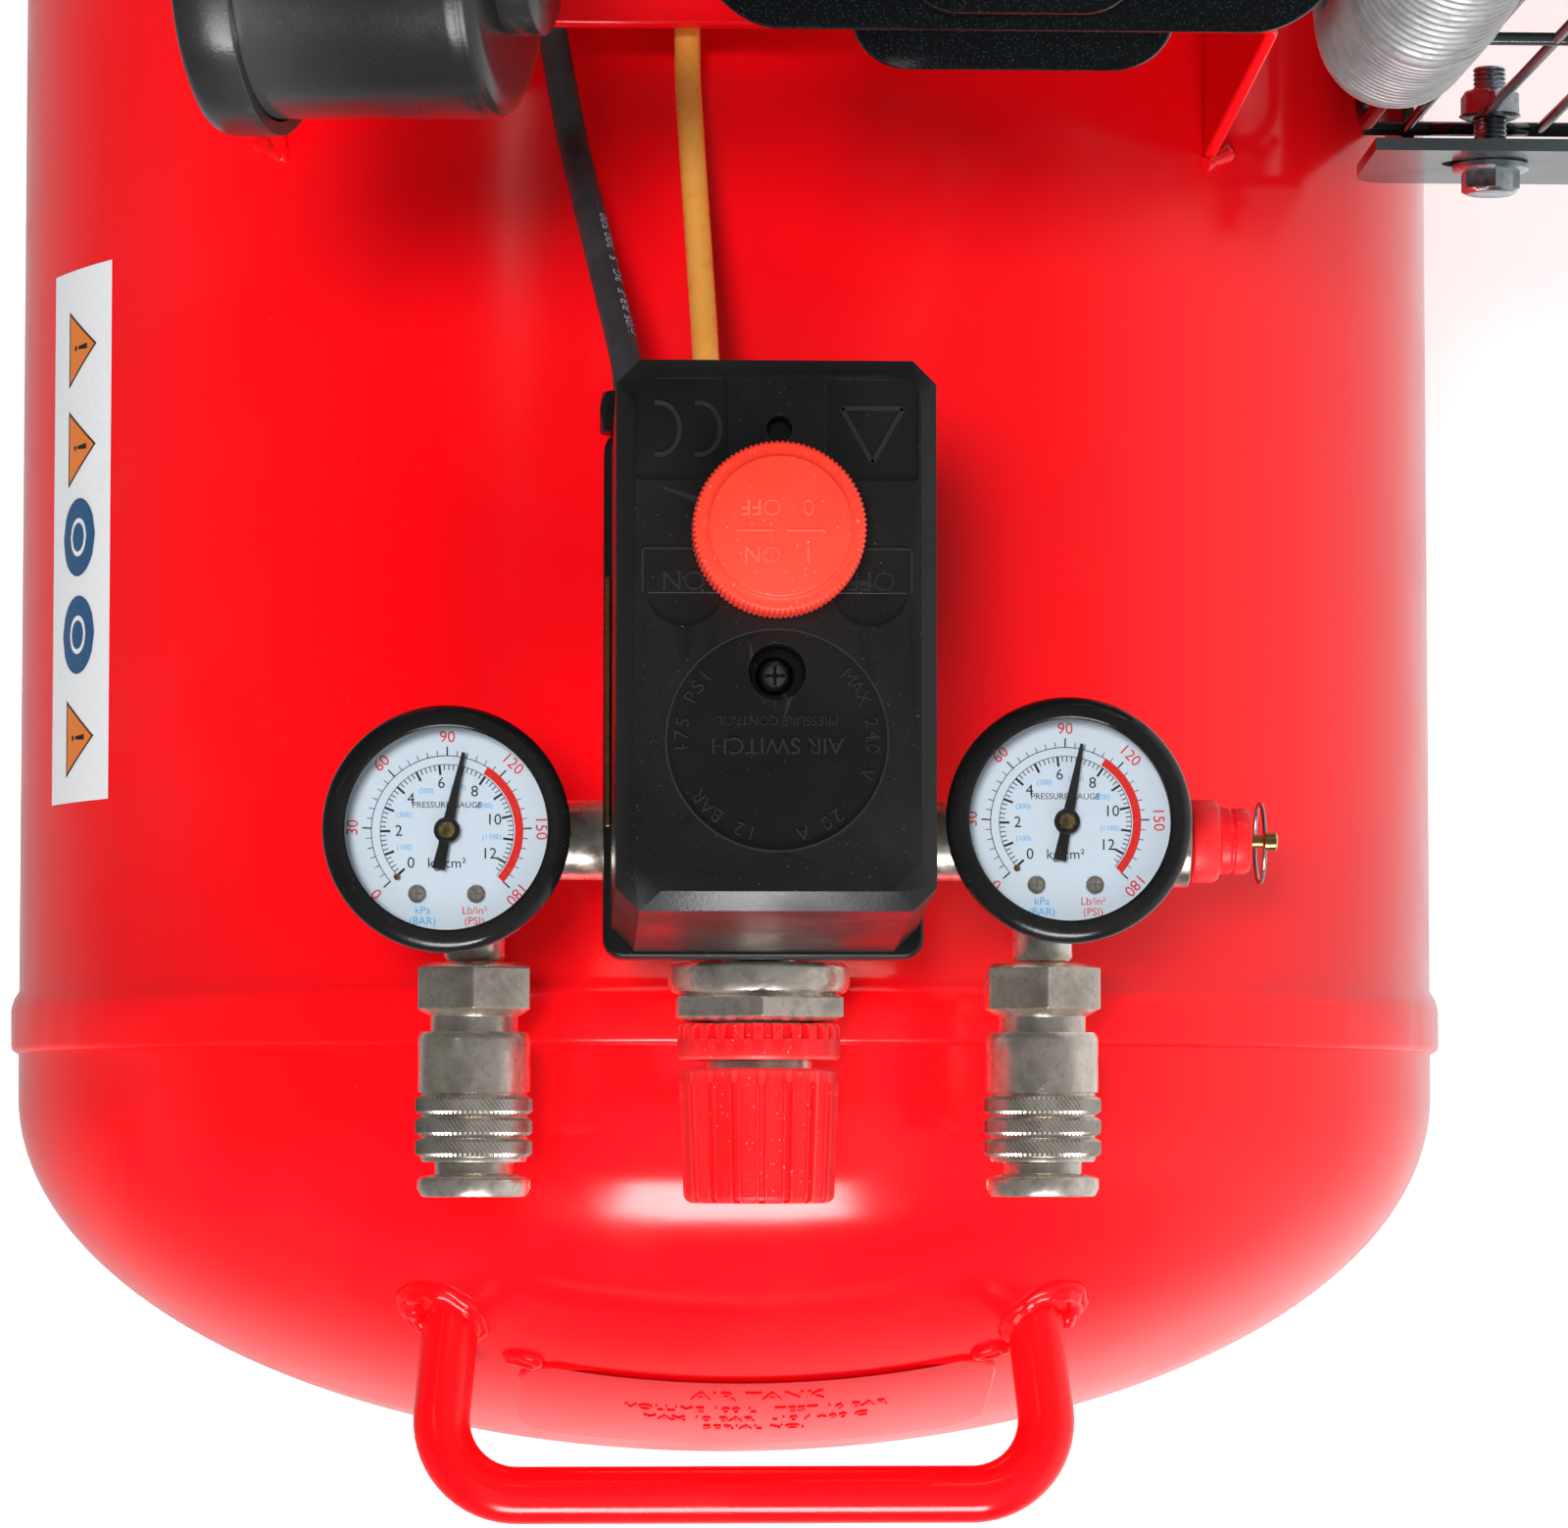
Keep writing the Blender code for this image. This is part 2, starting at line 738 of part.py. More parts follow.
def switch_knob():
    """Pull-on, push-off knob with its stem."""
    low = COVER_TOP + GAP
    turned(
        "switch_knob",
        (
            (0, 0.292), (0.0070, 0.292), (0.0075, 0.293), (0.0075, low), (0.0172, low),
            (KNOB_R, low + 0.001), (KNOB_R, 0.3280), (0.0170, 0.3290), (0.0140, 0.3290),
            (0.0138, 0.3300), (0, 0.3300),
        ),
        "knob_orange",
        (0, KNOB_Y, 0),
        segments=24,
    )


def cover_screw():
    """Screw that holds the cover to the contact block."""
    turned(
        "cover_screw",
        ((0, 0.280), (0.0015, 0.280), (0.0015, 0.3003), (0.0042, 0.3003), (0.0042, 0.3020),
         (0.0028, 0.3034), (0, 0.3038)),
        "zinc",
        (0, SCREW_Y, 0),
        segments=20,
    )


def unloader_tube():
    """Copper tube from the check valve, under the saddle, to the back of the switch."""
    path = bend_corners(
        (
            (0, CHECK_Y - 0.017, 0.200), (0, 0.700, 0.200), (-0.019, 0.660, 0.200), (-0.0158, 0.215, 0.2015),
            (-0.0127, 0.147, 0.238), (-0.012, SWITCH_BACK + GAP, 0.238),
        ),
        0.020,
        4,
    )
    swept("unloader_tube", path, 0.003, "copper", 8)


def motor_cable():
    """Motor lead from the terminal box, through the saddle, to the back of the switch."""
    path = bend_corners(
        (
            (LEAD_X, LEAD_Y, 0.2615), (LEAD_X, LEAD_Y, 0.198), (-0.0560, 0.275, 0.1955),
            (-0.0425, 0.202, 0.2000), (-0.0300, 0.143, 0.2385), (-0.0295, SWITCH_BACK + GAP, 0.2385),
        ),
        0.014,
        4,
    )
    swept("motor_cable", path, 0.0036, "rubber", 8)


def check_valve():
    """Non-return valve on the top of the tank behind the saddle."""
    turned(
        "check_valve",
        (
            (0, 0.179), (0.0105, 0.179), (0.0105, 0.1865), (0.0142, 0.1865, "hex"),
            (0.0142, 0.2080, "hex"), (0.0110, 0.2085), (0.0110, 0.2240), (0.0150, 0.2242, "hex"),
            (0.0150, 0.2350, "hex"), (0, 0.2350),
        ),
        "brass",
        (0, CHECK_Y, 0),
        segments=24,
    )


# ---- Pump ------------------------------------------------------------------------------------

def crank_frame(lean):
    """Rotation whose local Z points out along a cylinder that leans by the given angle."""
    return Matrix.Rotation(lean, 3, "X")


def crankcase():
    """Hollow case with two cylinder pads, bored for the shaft and the cylinders."""
    pad = PAD_OUT * math.sin(LEAN)
    half = 0.045 * math.sin(LEAN)
    base = SADDLE_TOP + GAP - CRANK_Z
    right = (
        (0.080, base), (0.080, base + 0.012), (0.062, base + 0.014), (0.066, -0.020),
        (pad + half, pad - half), (pad - half, pad + half),
    )
    outline = [(CRANK_Y + y, CRANK_Z + z) for y, z in right]
    outline += [(CRANK_Y - y, CRANK_Z + z) for y, z in reversed(right)]
    case = extruded("crankcase", outline, "yz", -0.032, 0.120, "cast_iron")
    drill(case, "cut_chamber", 0.0580, (-0.024, CRANK_Y, CRANK_Z), (1, 0, 0), 0.128, 28)
    drill(case, "cut_shaft", 0.0128, (-0.050, CRANK_Y, CRANK_Z), (1, 0, 0), 0.200, 24)
    for name, x, lean in (("cut_bore_front", FRONT_X, LEAN), ("cut_bore_rear", REAR_X, -LEAN)):
        out = crank_frame(lean) @ Vector((0, 0, 1))
        drill(case, name, BORE_R + 0.001, (x, CRANK_Y, CRANK_Z), out, 0.100)


def squircle(half, z, power, count=24):
    """Ring at height z: a circle for power 2, nearer to a square as power grows."""
    ring = []
    for k in range(count):
        angle = 2 * math.pi * k / count
        c, s = math.cos(angle), math.sin(angle)
        r = half / (abs(c) ** power + abs(s) ** power) ** (1 / power)
        ring.append(Vector((r * c, r * s, z)))
    return ring


def cylinder(name, x, lean):
    """Square finned cylinder, open at both ends."""
    fins = 3
    low = PAD_OUT + GAP
    pitch = (DECK_OUT - low) / fins
    rings = []
    for k in range(fins):
        start = low + k * pitch
        for half, z in ((0.044, start), (0.044, start + pitch * 0.60),
                        (0.055, start + pitch * 0.66), (0.055, start + pitch)):
            rings.append(squircle(half, z, 6))
    rings.append(squircle(BORE_R, DECK_OUT, 2))
    rings.append(squircle(BORE_R, low, 2))
    at = (x, CRANK_Y, CRANK_Z)
    loft(name, rings, "cast_iron", at, crank_frame(lean), closed=True)


def cylinder_head(name, x, lean):
    """Head with a broad top plate, a lower tab and a raised pad."""
    at = (x, CRANK_Y, CRANK_Z)
    turn = crank_frame(lean)

    def layer(half, z):
        return rounded_rect(half, -half, half, 0.024, z, 4)
    head = loft(
        name,
        (
            layer(0.057, DECK_OUT + GAP), layer(0.057, 0.176), layer(HEAD_HALF, 0.177),
            layer(HEAD_HALF, HEAD_OUT - 0.001), layer(HEAD_HALF - 0.001, HEAD_OUT),
        ),
        "black_paint",
        at,
        turn,
    )
    tab = [rounded_rect(0.0325, -0.0810, -0.040, 0.012, z, 3) for z in (0.170, 0.1785)]
    boolean(head, loft("join_tab_" + name, tab, "black_paint", at, turn), "UNION")
    pad = [rounded_rect(0.0225, -0.0590, 0.0590, 0.010, z, 3) for z in (0.180, HEAD_OUT + 0.004)]
    boolean(head, loft("join_pad_" + name, pad, "black_paint", at, turn), "UNION")


def crankshaft():
    """Single-throw shaft with two round webs, carried in the case."""
    rings = []
    for x, radius, rise in (
        (-0.030, 0.0125, 0), (0.010, 0.0125, 0), (0.010, 0.045, 0), (0.019, 0.045, 0),
        (0.019, 0.011, THROW), (0.056, 0.011, THROW), (0.056, 0.045, 0), (0.065, 0.045, 0),
        (0.065, 0.0125, 0), (0.207, 0.0125, 0),
    ):
        ring = []
        for k in range(24):
            angle = 2 * math.pi * k / 24
            ring.append(Vector((x, radius * math.cos(angle), rise + radius * math.sin(angle))))
        rings.append(ring)
    loft("crankshaft", rings, "steel", (0, CRANK_Y, CRANK_Z))


def pin_distance():
    """Distance from the crank axis to a piston pin with the throw straight up."""
    across = THROW * math.sin(LEAN)
    return THROW * math.cos(LEAN) + math.sqrt(ROD_LENGTH ** 2 - across ** 2)


def piston(name, x, lean):
    """Hollow piston with its pin."""
    out = crank_frame(lean) @ Vector((0, 0, 1))
    centre = Vector((x, CRANK_Y, CRANK_Z)) + out * pin_distance()
    body = turned(
        name,
        ((0.0275, -0.018), (BORE_R - GAP - 0.0004, -0.018), (BORE_R - GAP - 0.0004, 0.018),
         (0, 0.018), (0, 0.012), (0.0275, 0.012)),
        "aluminium",
        centre,
        out,
        32,
    )
    body.rotation_euler = crank_frame(lean).to_euler()
    pin = turned(
        "join_pin_" + name,
        ((0, -0.030), (0.006, -0.030), (0.006, 0.030), (0, 0.030)),
        "steel",
        centre,
        (1, 0, 0),
        16,
    )
    boolean(body, pin, "UNION")


def conrod(name, x, lean):
    """Flat rod with a large end on the throw and a small end on the piston pin."""
    out = crank_frame(lean) @ Vector((0, 0, 1))
    low = Vector((x, CRANK_Y, CRANK_Z + THROW))
    high = Vector((x, CRANK_Y, CRANK_Z)) + out * pin_distance()
    up = (high - low).normalized()
    across = up.cross(Vector((1, 0, 0)))
    outline = []
    for centre, radius, start in ((low, 0.018, 150), (high, 0.011, -20)):
        sweep = 240 if centre is low else 220
        for k in range(13):
            angle = math.radians(start + sweep * k / 12)
            outline.append(centre + radius * (across * math.cos(angle) + up * math.sin(angle)))
    rings = [[p + Vector((dx, 0, 0)) for p in outline] for dx in (-0.006, 0.006)]
    rod = loft(name, rings, "steel")
    drill(rod, "cut_big_" + name, 0.0114, low - Vector((0.02, 0, 0)), (1, 0, 0), 0.04, 24)
    drill(rod, "cut_small_" + name, 0.0064, high - Vector((0.02, 0, 0)), (1, 0, 0), 0.04, 20)


def link_pipe():
    """Finned pipe that loops from the front head to the rear head, with a thin neck at each."""
    route = bend_corners(
        (
            (0.1125, 0.244, 0.4067), (0.1302, 0.244, 0.4067), (0.1290, 0.244, 0.326),
            (0.1272, 0.200, 0.326), (0.1272, 0.200, 0.385), (0.1305, 0.208, 0.430),
            (0.1313, 0.222, 0.487), (0.1313, 0.503, 0.487), (0.1290, 0.503, 0.3997),
            (0.0985, 0.503, 0.3997),
        ),
        0.0175,
        3,
    )
    first = Vector((0.1025, 0.244, 0.4067))
    last = Vector((0.0875, 0.503, 0.3997))
    step = Vector((0.0008, 0, 0))
    path = [first, route[0] - step] + route + [route[-1] - step, last]
    radii = [PORT_R, PORT_R] + [LINK_R] * len(route) + [PORT_R, PORT_R]
    swept("link_pipe", path, radii, "aluminium", 8)


def discharge_pipe():
    """Finned pipe from the rear head, over the motor, down to the check valve."""
    turn = crank_frame(-LEAN)
    start = Vector((REAR_X, CRANK_Y, CRANK_Z)) + turn @ Vector((-0.040, 0.030, HEAD_OUT + GAP))
    out = turn @ Vector((0, 0, 1))
    path = bend_corners(
        (start, start + out * 0.040, (0, CHECK_Y, 0.440), (0, CHECK_Y, 0.2353)),
        0.025,
        5,
    )
    swept("discharge_pipe", path, 0.008, "aluminium", 8)


def air_filter(suffix, location, direction, split):
    """Round intake filter: a hollow body on a collar and a neck, and its lid."""
    body = (
        (0, 0.0045), (0.011, 0.0045), (0.011, 0.0300), (0.0185, 0.0302), (0.0185, 0.0375),
        (0.0330, 0.0385), (0.0350, 0.0405), (0.0350, 0.0900), (0.0320, 0.0900), (0.0320, 0.0415),
        (0, 0.0400),
    )
    lid = (
        (0.0353, 0.0850), (0.0385, 0.0850), (0.0385, 0.0950), (0.0360, 0.0975), (0, 0.0985),
        (0, 0.0905), (0.0353, 0.0905),
    )
    if split:
        turned("air_filter_body" + suffix, body, "black_plastic", location, direction, 18)
        turned("air_filter_lid" + suffix, lid, "black_plastic", location, direction, 18)
        return
    whole = body[:7] + ((0.0350, 0.0845),) + lid[1:5]
    turned("air_filter" + suffix, whole, "black_plastic", location, direction, 18)


# ---- Drive -----------------------------------------------------------------------------------

def groove(radius, half, hub):
    """Rim sections of a V pulley, from its inner side to its outer side."""
    top = BELT_TOP + GAP
    depth = 0.0095
    floor = top - depth * BELT_SLOPE
    return (
        (hub, -half), (radius, -half), (radius, -top), (radius - depth, -floor),
        (radius - depth, floor), (radius, top), (radius, half), (hub, half),
    )


def flywheel():
    """Pump pulley: rim, web with five openings, and hub."""
    rim = groove(FLYWHEEL_R, 0.0175, 0.120)
    sections = (
        ((0.0128, -0.022), (0.028, -0.022), (0.028, -0.005), (0.118, -0.005))
        + rim
        + ((0.118, 0.005), (0.028, 0.005), (0.028, 0.020), (0.0128, 0.020))
    )
    wheel_body = turned(
        "flywheel", sections, "cast_iron", (BELT_X, CRANK_Y, CRANK_Z), (1, 0, 0), 36
    )
    for k in range(5):
        angle = math.radians(90 + 72 * k)
        centre = (BELT_X - 0.02, CRANK_Y + 0.073 * math.cos(angle), CRANK_Z + 0.073 * math.sin(angle))
        drill(wheel_body, "cut_window_%d" % k, 0.029, centre, (1, 0, 0), 0.04, 14)


def motor():
    """Motor with feet and terminal box, and its pulley on the shaft."""
    body = turned(
        "motor_body",
        (
            (0, -0.155), (0.045, -0.155), (0.070, -0.145), (MOTOR_R, -0.135), (MOTOR_R, -0.108),
            (0.070, -0.106), (0.070, 0.078), (MOTOR_R, 0.080), (MOTOR_R, 0.098), (0.068, 0.108),
            (0.030, 0.112), (0.0098, 0.112), (0.0098, 0.090), (0, 0.090),
        ),
        "black_paint",
        (0, MOTOR_Y, MOTOR_Z),
        (1, 0, 0),
        24,
    )
    low = SADDLE_TOP + GAP
    foot = block(
        "join_feet", (-0.085, MOTOR_Y - 0.060, low), (0.060, MOTOR_Y + 0.060, 0.246), "black_paint"
    )
    boolean(body, foot, "UNION")
    box = block("join_terminals", (-0.127, 0.477, 0.262), (-0.063, 0.530, 0.322), "black_paint")
    boolean(body, box, "UNION")
    turned(
        "motor_pulley",
        (
            (0, -0.088), (0.0095, -0.088), (0.0095, -0.014), (0.020, -0.014), (0.020, -0.011),
        )
        + groove(PULLEY_R, 0.0110, 0.022)
        + ((0.020, 0.011), (0.020, 0.016), (0, 0.016)),
        "steel",
        (BELT_X, MOTOR_Y, MOTOR_Z),
        (1, 0, 0),
        20,
    )


def drive_belt():
    """V belt that wraps the flywheel and the motor pulley."""
    big = Vector((0, CRANK_Y, CRANK_Z))
    small = Vector((0, MOTOR_Y, MOTOR_Z))
    span = small - big
    heading = math.atan2(span.z, span.y)
    wrap = math.acos((FLYWHEEL_R - PULLEY_R) / span.length)
    arcs = (
        (big, FLYWHEEL_R, heading + wrap, heading + 2 * math.pi - wrap, 32),
        (small, PULLEY_R, heading - wrap, heading + wrap, 10),
    )
    rings = []
    for centre, radius, start, end, count in arcs:
        for k in range(count + 1):
            angle = start + (end - start) * k / count
            out = Vector((0, math.cos(angle), math.sin(angle)))
            low = BELT_TOP - BELT_THICK * BELT_SLOPE
            ring = []
            for half, drop in ((BELT_TOP, 0), (low, BELT_THICK), (-low, BELT_THICK), (-BELT_TOP, 0)):
                ring.append(centre + out * (radius - drop) + Vector((BELT_X + half, 0, 0)))
            rings.append(ring)
    loft("drive_belt", rings, "rubber", closed=True)


def guard_grid(origin, across, up, columns, rows, verts, faces):
    """Append a grid of quads; columns and rows are distances along the two directions."""
    start = len(verts)
    for row in rows:
        for column in columns:
            verts.append(origin + across * column + up * row)
    wide = len(columns)
    for r in range(len(rows) - 1):
        for c in range(wide - 1):
            a = start + r * wide + c
            faces.append((a, a + 1, a + wide + 1, a + wide))


def belt_guard():
    """Wire cage, open on the pump side."""
    depth = [0, 0.018, 0.042, GUARD_OUT - GUARD_IN]
    height = [(GUARD_HIGH - GUARD_LOW) * k / 3 for k in range(4)]
    length = [(GUARD_BACK - GUARD_FRONT) * k / 6 for k in range(7)]
    x, y, z = Vector((1, 0, 0)), Vector((0, 1, 0)), Vector((0, 0, 1))
    front_low = Vector((GUARD_IN, GUARD_FRONT, GUARD_LOW))
    verts = []
    faces = []
    guard_grid(front_low, x, z, depth, height, verts, faces)
    guard_grid(front_low + y * length[-1], x, z, depth, height, verts, faces)
    guard_grid(front_low + x * depth[-1], y, z, length, height, verts, faces)
    guard_grid(front_low, x, y, depth, length, verts, faces)
    guard_grid(front_low + z * height[-1], x, y, depth, length, verts, faces)
    guard = mesh_object("belt_guard", verts, faces, "black_paint")
    bm = bmesh.new()
    bm.from_mesh(guard.data)
    bmesh.ops.remove_doubles(bm, verts=bm.verts, dist=1e-5)
    bmesh.ops.recalc_face_normals(bm, faces=bm.faces)
    panes = list(bm.faces)
    bmesh.ops.inset_individual(bm, faces=panes, thickness=WIRE / 2)
    bmesh.ops.delete(bm, geom=panes, context="FACES_ONLY")
    bm.to_mesh(guard.data)
    bm.free()
    bars = guard.modifiers.new("Bars", "SOLIDIFY")
    bars.thickness = WIRE
    bars.offset = 0
    bars.use_even_offset = True


def guard_bracket():
    """Plate across the front of the guard with a flange welded to the tank, and a bolt slot."""
    face = 0.2065
    corner = [(0.1585 + 0.008 * math.cos(a), 0.126 + 0.008 * math.sin(a))
              for a in (math.radians(180 + 90 * k / 5) for k in range(6))]
    outline = [(0.1505, 0.165)] + corner + [(0.232, 0.118), (0.232, 0.165)]
    plate = extruded("guard_bracket", outline, "xz", face, face + PLATE, "black_paint")
    flange = ((face + 0.001, 0.126), (face + 0.001, 0.119), (0.225, 0.0905), (0.270, 0.0905),
              (0.270, 0.126))
    boolean(plate, extruded("join_flange", flange, "yz", 0.162, 0.165, "black_paint"), "UNION")
    ends = []
    for cx, start in ((BOLT_X + 0.002, -90), (BOLT_X - 0.007, 90)):
        for k in range(7):
            angle = math.radians(start + 180 * k / 6)
            ends.append((cx + 0.0046 * math.cos(angle), BOLT_Z + 0.0046 * math.sin(angle)))
    boolean(plate, extruded("cut_slot", ends, "xz", face - 0.01, face + 0.02, "steel"), "DIFFERENCE")


def guard_bolt():
    """Flanged bolt with its nut, clamping the guard to the bracket."""
    turned(
        "guard_bolt",
        (
            (0, 0.1990), (0.0060, 0.1990), (0.0065, 0.1996, "hex"), (0.0065, 0.2042, "hex"),
            (0.0092, 0.2046), (0.0092, 0.2062), (0.0040, 0.2062), (0.0040, 0.2175),
            (0.0065, 0.2175, "hex"), (0.0065, 0.2240, "hex"), (0.0040, 0.2244), (0.0040, 0.2290),
            (0.0034, 0.2298), (0, 0.2298),
        ),
        "zinc",
        (BOLT_X, 0, BOLT_Z),
        (0, 1, 0),
        24,
    )


# ---- Assembly --------------------------------------------------------------------------------

def clear_scene():
    """Remove every object already in the file."""
    for obj in list(bpy.data.objects):
        bpy.data.objects.remove(obj, do_unlink=True)


def stand_on_floor():
    """Parent everything to one empty that lifts the soles to Z = 0 and centres the machine."""
    root = bpy.data.objects.new("compressor", None)
    bpy.context.scene.collection.objects.link(root)
    root.location = (0, -CENTRE_Y, AXIS_HEIGHT)
    for obj in list(bpy.context.scene.collection.objects):
        if obj is not root and obj.parent is None:
            obj.parent = root


def build():
    """Make every sub-part of the machine."""
    clear_scene()
    tank_shell()
    tank_head("tank_head_front", 0, (0, -1, 0))
    tank_head("tank_head_rear", TANK_LENGTH, (0, 1, 0))
    front_handle()
    front_leg_and_feet()
    axle_bracket()
    wheel("wheel_left", -1)
    wheel("wheel_right", 1)
    saddle()
    drain_valve()
    manifold()
    gauge("left", GAUGE_LEFT, 11)
    gauge("right", GAUGE_RIGHT, 12)
    coupler("left", -COUPLER_X)
    coupler("right", COUPLER_X)
    regulator()
    safety_valve()
    switch_base()
    switch_cover()
    switch_knob()
    cover_screw()
    unloader_tube()
    motor_cable()
    check_valve()
    crankcase()
    crankshaft()
    for tag, x, lean in (("_front", FRONT_X, LEAN), ("_rear", REAR_X, -LEAN)):
        cylinder("cylinder" + tag, x, lean)
        cylinder_head("cylinder_head" + tag, x, lean)
        piston("piston" + tag, x, lean)
        conrod("conrod" + tag, x, lean)
    link_pipe()
    discharge_pipe()
    left_front = (FRONT_X - HEAD_HALF + 0.0013, FILTER_Y, FILTER_Z)
    left_rear = (REAR_X - HEAD_HALF - GAP, 2 * CRANK_Y - FILTER_Y, FILTER_Z)
    air_filter("_front", left_front, (-0.970, 0.034, -0.234), True)
    air_filter("_rear", left_rear, (-0.98, 0, 0.15), False)
    flywheel()
    motor()
    drive_belt()
    belt_guard()
    guard_bracket()
    guard_bolt()
    stand_on_floor()


build()
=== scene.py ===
"""Looks of a belt-driven V-twin air compressor: fine meshes, materials, light and camera.

Pieces are modelled in tank coordinates: metres from the tank's axis, with Y = 0 at the front
weld band, the handle at -Y and the belt guard at +X. A piece's object stands at AXIS, so its
texture coordinates are tank coordinates too, or at a point on its own centre line.
"""

import json
import math

import bmesh
import bpy
from mathutils import Matrix, Vector, noise


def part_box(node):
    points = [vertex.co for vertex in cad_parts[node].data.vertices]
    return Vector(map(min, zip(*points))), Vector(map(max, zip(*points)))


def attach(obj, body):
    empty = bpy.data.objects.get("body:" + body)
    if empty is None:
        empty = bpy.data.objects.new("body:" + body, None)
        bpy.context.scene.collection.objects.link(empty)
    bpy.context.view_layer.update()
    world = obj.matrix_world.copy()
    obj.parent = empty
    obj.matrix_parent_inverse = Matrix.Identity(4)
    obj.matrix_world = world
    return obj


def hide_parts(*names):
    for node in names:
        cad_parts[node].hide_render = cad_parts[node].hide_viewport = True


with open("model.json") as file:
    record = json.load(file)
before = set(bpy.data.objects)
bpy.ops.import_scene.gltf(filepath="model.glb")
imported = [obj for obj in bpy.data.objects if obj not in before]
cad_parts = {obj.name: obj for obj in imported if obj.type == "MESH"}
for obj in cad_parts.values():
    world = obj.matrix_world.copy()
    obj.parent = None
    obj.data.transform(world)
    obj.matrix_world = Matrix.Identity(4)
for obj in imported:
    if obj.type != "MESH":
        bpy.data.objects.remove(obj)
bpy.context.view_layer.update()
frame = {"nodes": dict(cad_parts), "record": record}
NODES = frame["nodes"]

# ---- The frame's places ----------------------------------------------------------------------

BAND_HALF = 0.007
BAND_PROUD = 0.002
SHELL_LOW, SHELL_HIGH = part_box("tank_shell")
AXIS = Vector((0, SHELL_LOW.y + BAND_HALF, (SHELL_LOW.z + SHELL_HIGH.z) / 2))
TANK_R = (SHELL_HIGH.x - SHELL_LOW.x) / 2 - BAND_PROUD
TANK_END = SHELL_HIGH.y - BAND_HALF - AXIS.y
WALL = 0.003
GAP = 0.0003
FLANGE = 0.018
DOME_DEPTH = 0.0925
UP = Vector((0, 0, 1))
PIPE_DIRECTION = (0, -1, 0)


def near(*nodes):
    """Lowest and highest corner of some CAD nodes in tank coordinates."""
    corners = [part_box(node) for node in nodes]
    low = Vector([min(c[0][i] for c in corners) for i in range(3)]) - AXIS
    high = Vector([max(c[1][i] for c in corners) for i in range(3)]) - AXIS
    return low, high


def middle(*nodes):
    """Centre of the box round some CAD nodes in tank coordinates."""
    low, high = near(*nodes)
    return (low + high) / 2


# ---- Materials -------------------------------------------------------------------------------

class Look:
    """One Principled material, built up from layers of procedural detail."""

    def __init__(self, name, colour, rough, metal=0.0):
        self.material = bpy.data.materials.new(name)
        self.material.use_nodes = True
        self.nodes = self.material.node_tree.nodes
        self.links = self.material.node_tree.links
        self.shader = self.nodes["Principled BSDF"]
        self.shader.inputs["Base Color"].default_value = (*colour, 1)
        self.shader.inputs["Roughness"].default_value = rough
        self.shader.inputs["Metallic"].default_value = metal
        self.place = self.node("TexCoord").outputs["Object"]

    def node(self, kind, inputs=None, **settings):
        """Add a node, set its fields, and fill its inputs with values or links."""
        node = self.nodes.new("ShaderNode" + kind)
        for key, value in settings.items():
            setattr(node, key, value)
        for key, value in (inputs or {}).items():
            if isinstance(value, bpy.types.NodeSocket):
                self.links.new(value, node.inputs[key])
            else:
                node.inputs[key].default_value = value
        return node

    def current(self, name):
        """What feeds a shader input now: a link's source or the plain value."""
        socket = self.shader.inputs[name]
        if socket.is_linked:
            return socket.links[0].from_socket
        value = socket.default_value
        return tuple(value) if hasattr(value, "__len__") else value

    def noise(self, scale, detail=3.0, stretch=(1, 1, 1)):
        """Noise of the given frequency per metre, optionally stretched."""
        place = self.node("Mapping", {"Vector": self.place, "Scale": stretch}).outputs[0]
        inputs = {"Vector": place, "Scale": scale, "Detail": detail}
        return self.node("TexNoise", inputs).outputs[0]

    def cells(self, scale):
        """Distance to the nearest of many scattered points."""
        inputs = {"Vector": self.place, "Scale": scale}
        return self.node("TexVoronoi", inputs).outputs["Distance"]

    def edges(self, low, high):
        """Mask of the convex edges of a dense mesh."""
        return self.window(self.node("NewGeometry").outputs["Pointiness"], low, high)

    def window(self, value, low, high, start=0.0, end=1.0):
        """Smooth step from start to end while value goes from low to high."""
        inputs = {"Value": value, "From Min": low, "From Max": high, "To Min": start, "To Max": end}
        return self.node("MapRange", inputs, interpolation_type="SMOOTHSTEP").outputs[0]

    def tint(self, amount, colour):
        """Mix a colour over the base by amount."""
        inputs = {0: amount, 6: self.current("Base Color"), 7: (*colour, 1)}
        mix = self.node("Mix", inputs, data_type="RGBA")
        self.links.new(mix.outputs[2], self.shader.inputs["Base Color"])
        return self

    def roughen(self, amount, rough):
        """Mix another roughness in by amount."""
        mix = self.node("Mix", {0: amount, 2: self.current("Roughness"), 3: rough})
        self.links.new(mix.outputs[0], self.shader.inputs["Roughness"])
        return self

    def bump(self, height, distance):
        """Add relief of the given depth in metres."""
        inputs = {"Height": height, "Distance": distance}
        if self.shader.inputs["Normal"].is_linked:
            inputs["Normal"] = self.shader.inputs["Normal"].links[0].from_socket
        bump = self.node("Bump", inputs)
        self.links.new(bump.outputs[0], self.shader.inputs["Normal"])
        return self


def gloss_red():
    """Red powder coat: clear gloss, light orange peel, slow waves of the rolled sheet."""
    look = Look("red_paint", (0.94, 0.0035, 0.0080), 0.15)
    look.tint(look.window(look.noise(9), 0.35, 0.70, 0, 0.35), (0.90, 0.0020, 0.0060))
    look.tint(look.window(look.noise(1500, 1), 0.74, 0.80, 0, 0.25), (0.55, 0.10, 0.09))
    look.roughen(look.window(look.noise(30), 0.4, 0.7), 0.22)
    look.bump(look.noise(16, 2), 0.00035)
    look.bump(look.noise(330, 2), 0.000010)
    return look.material


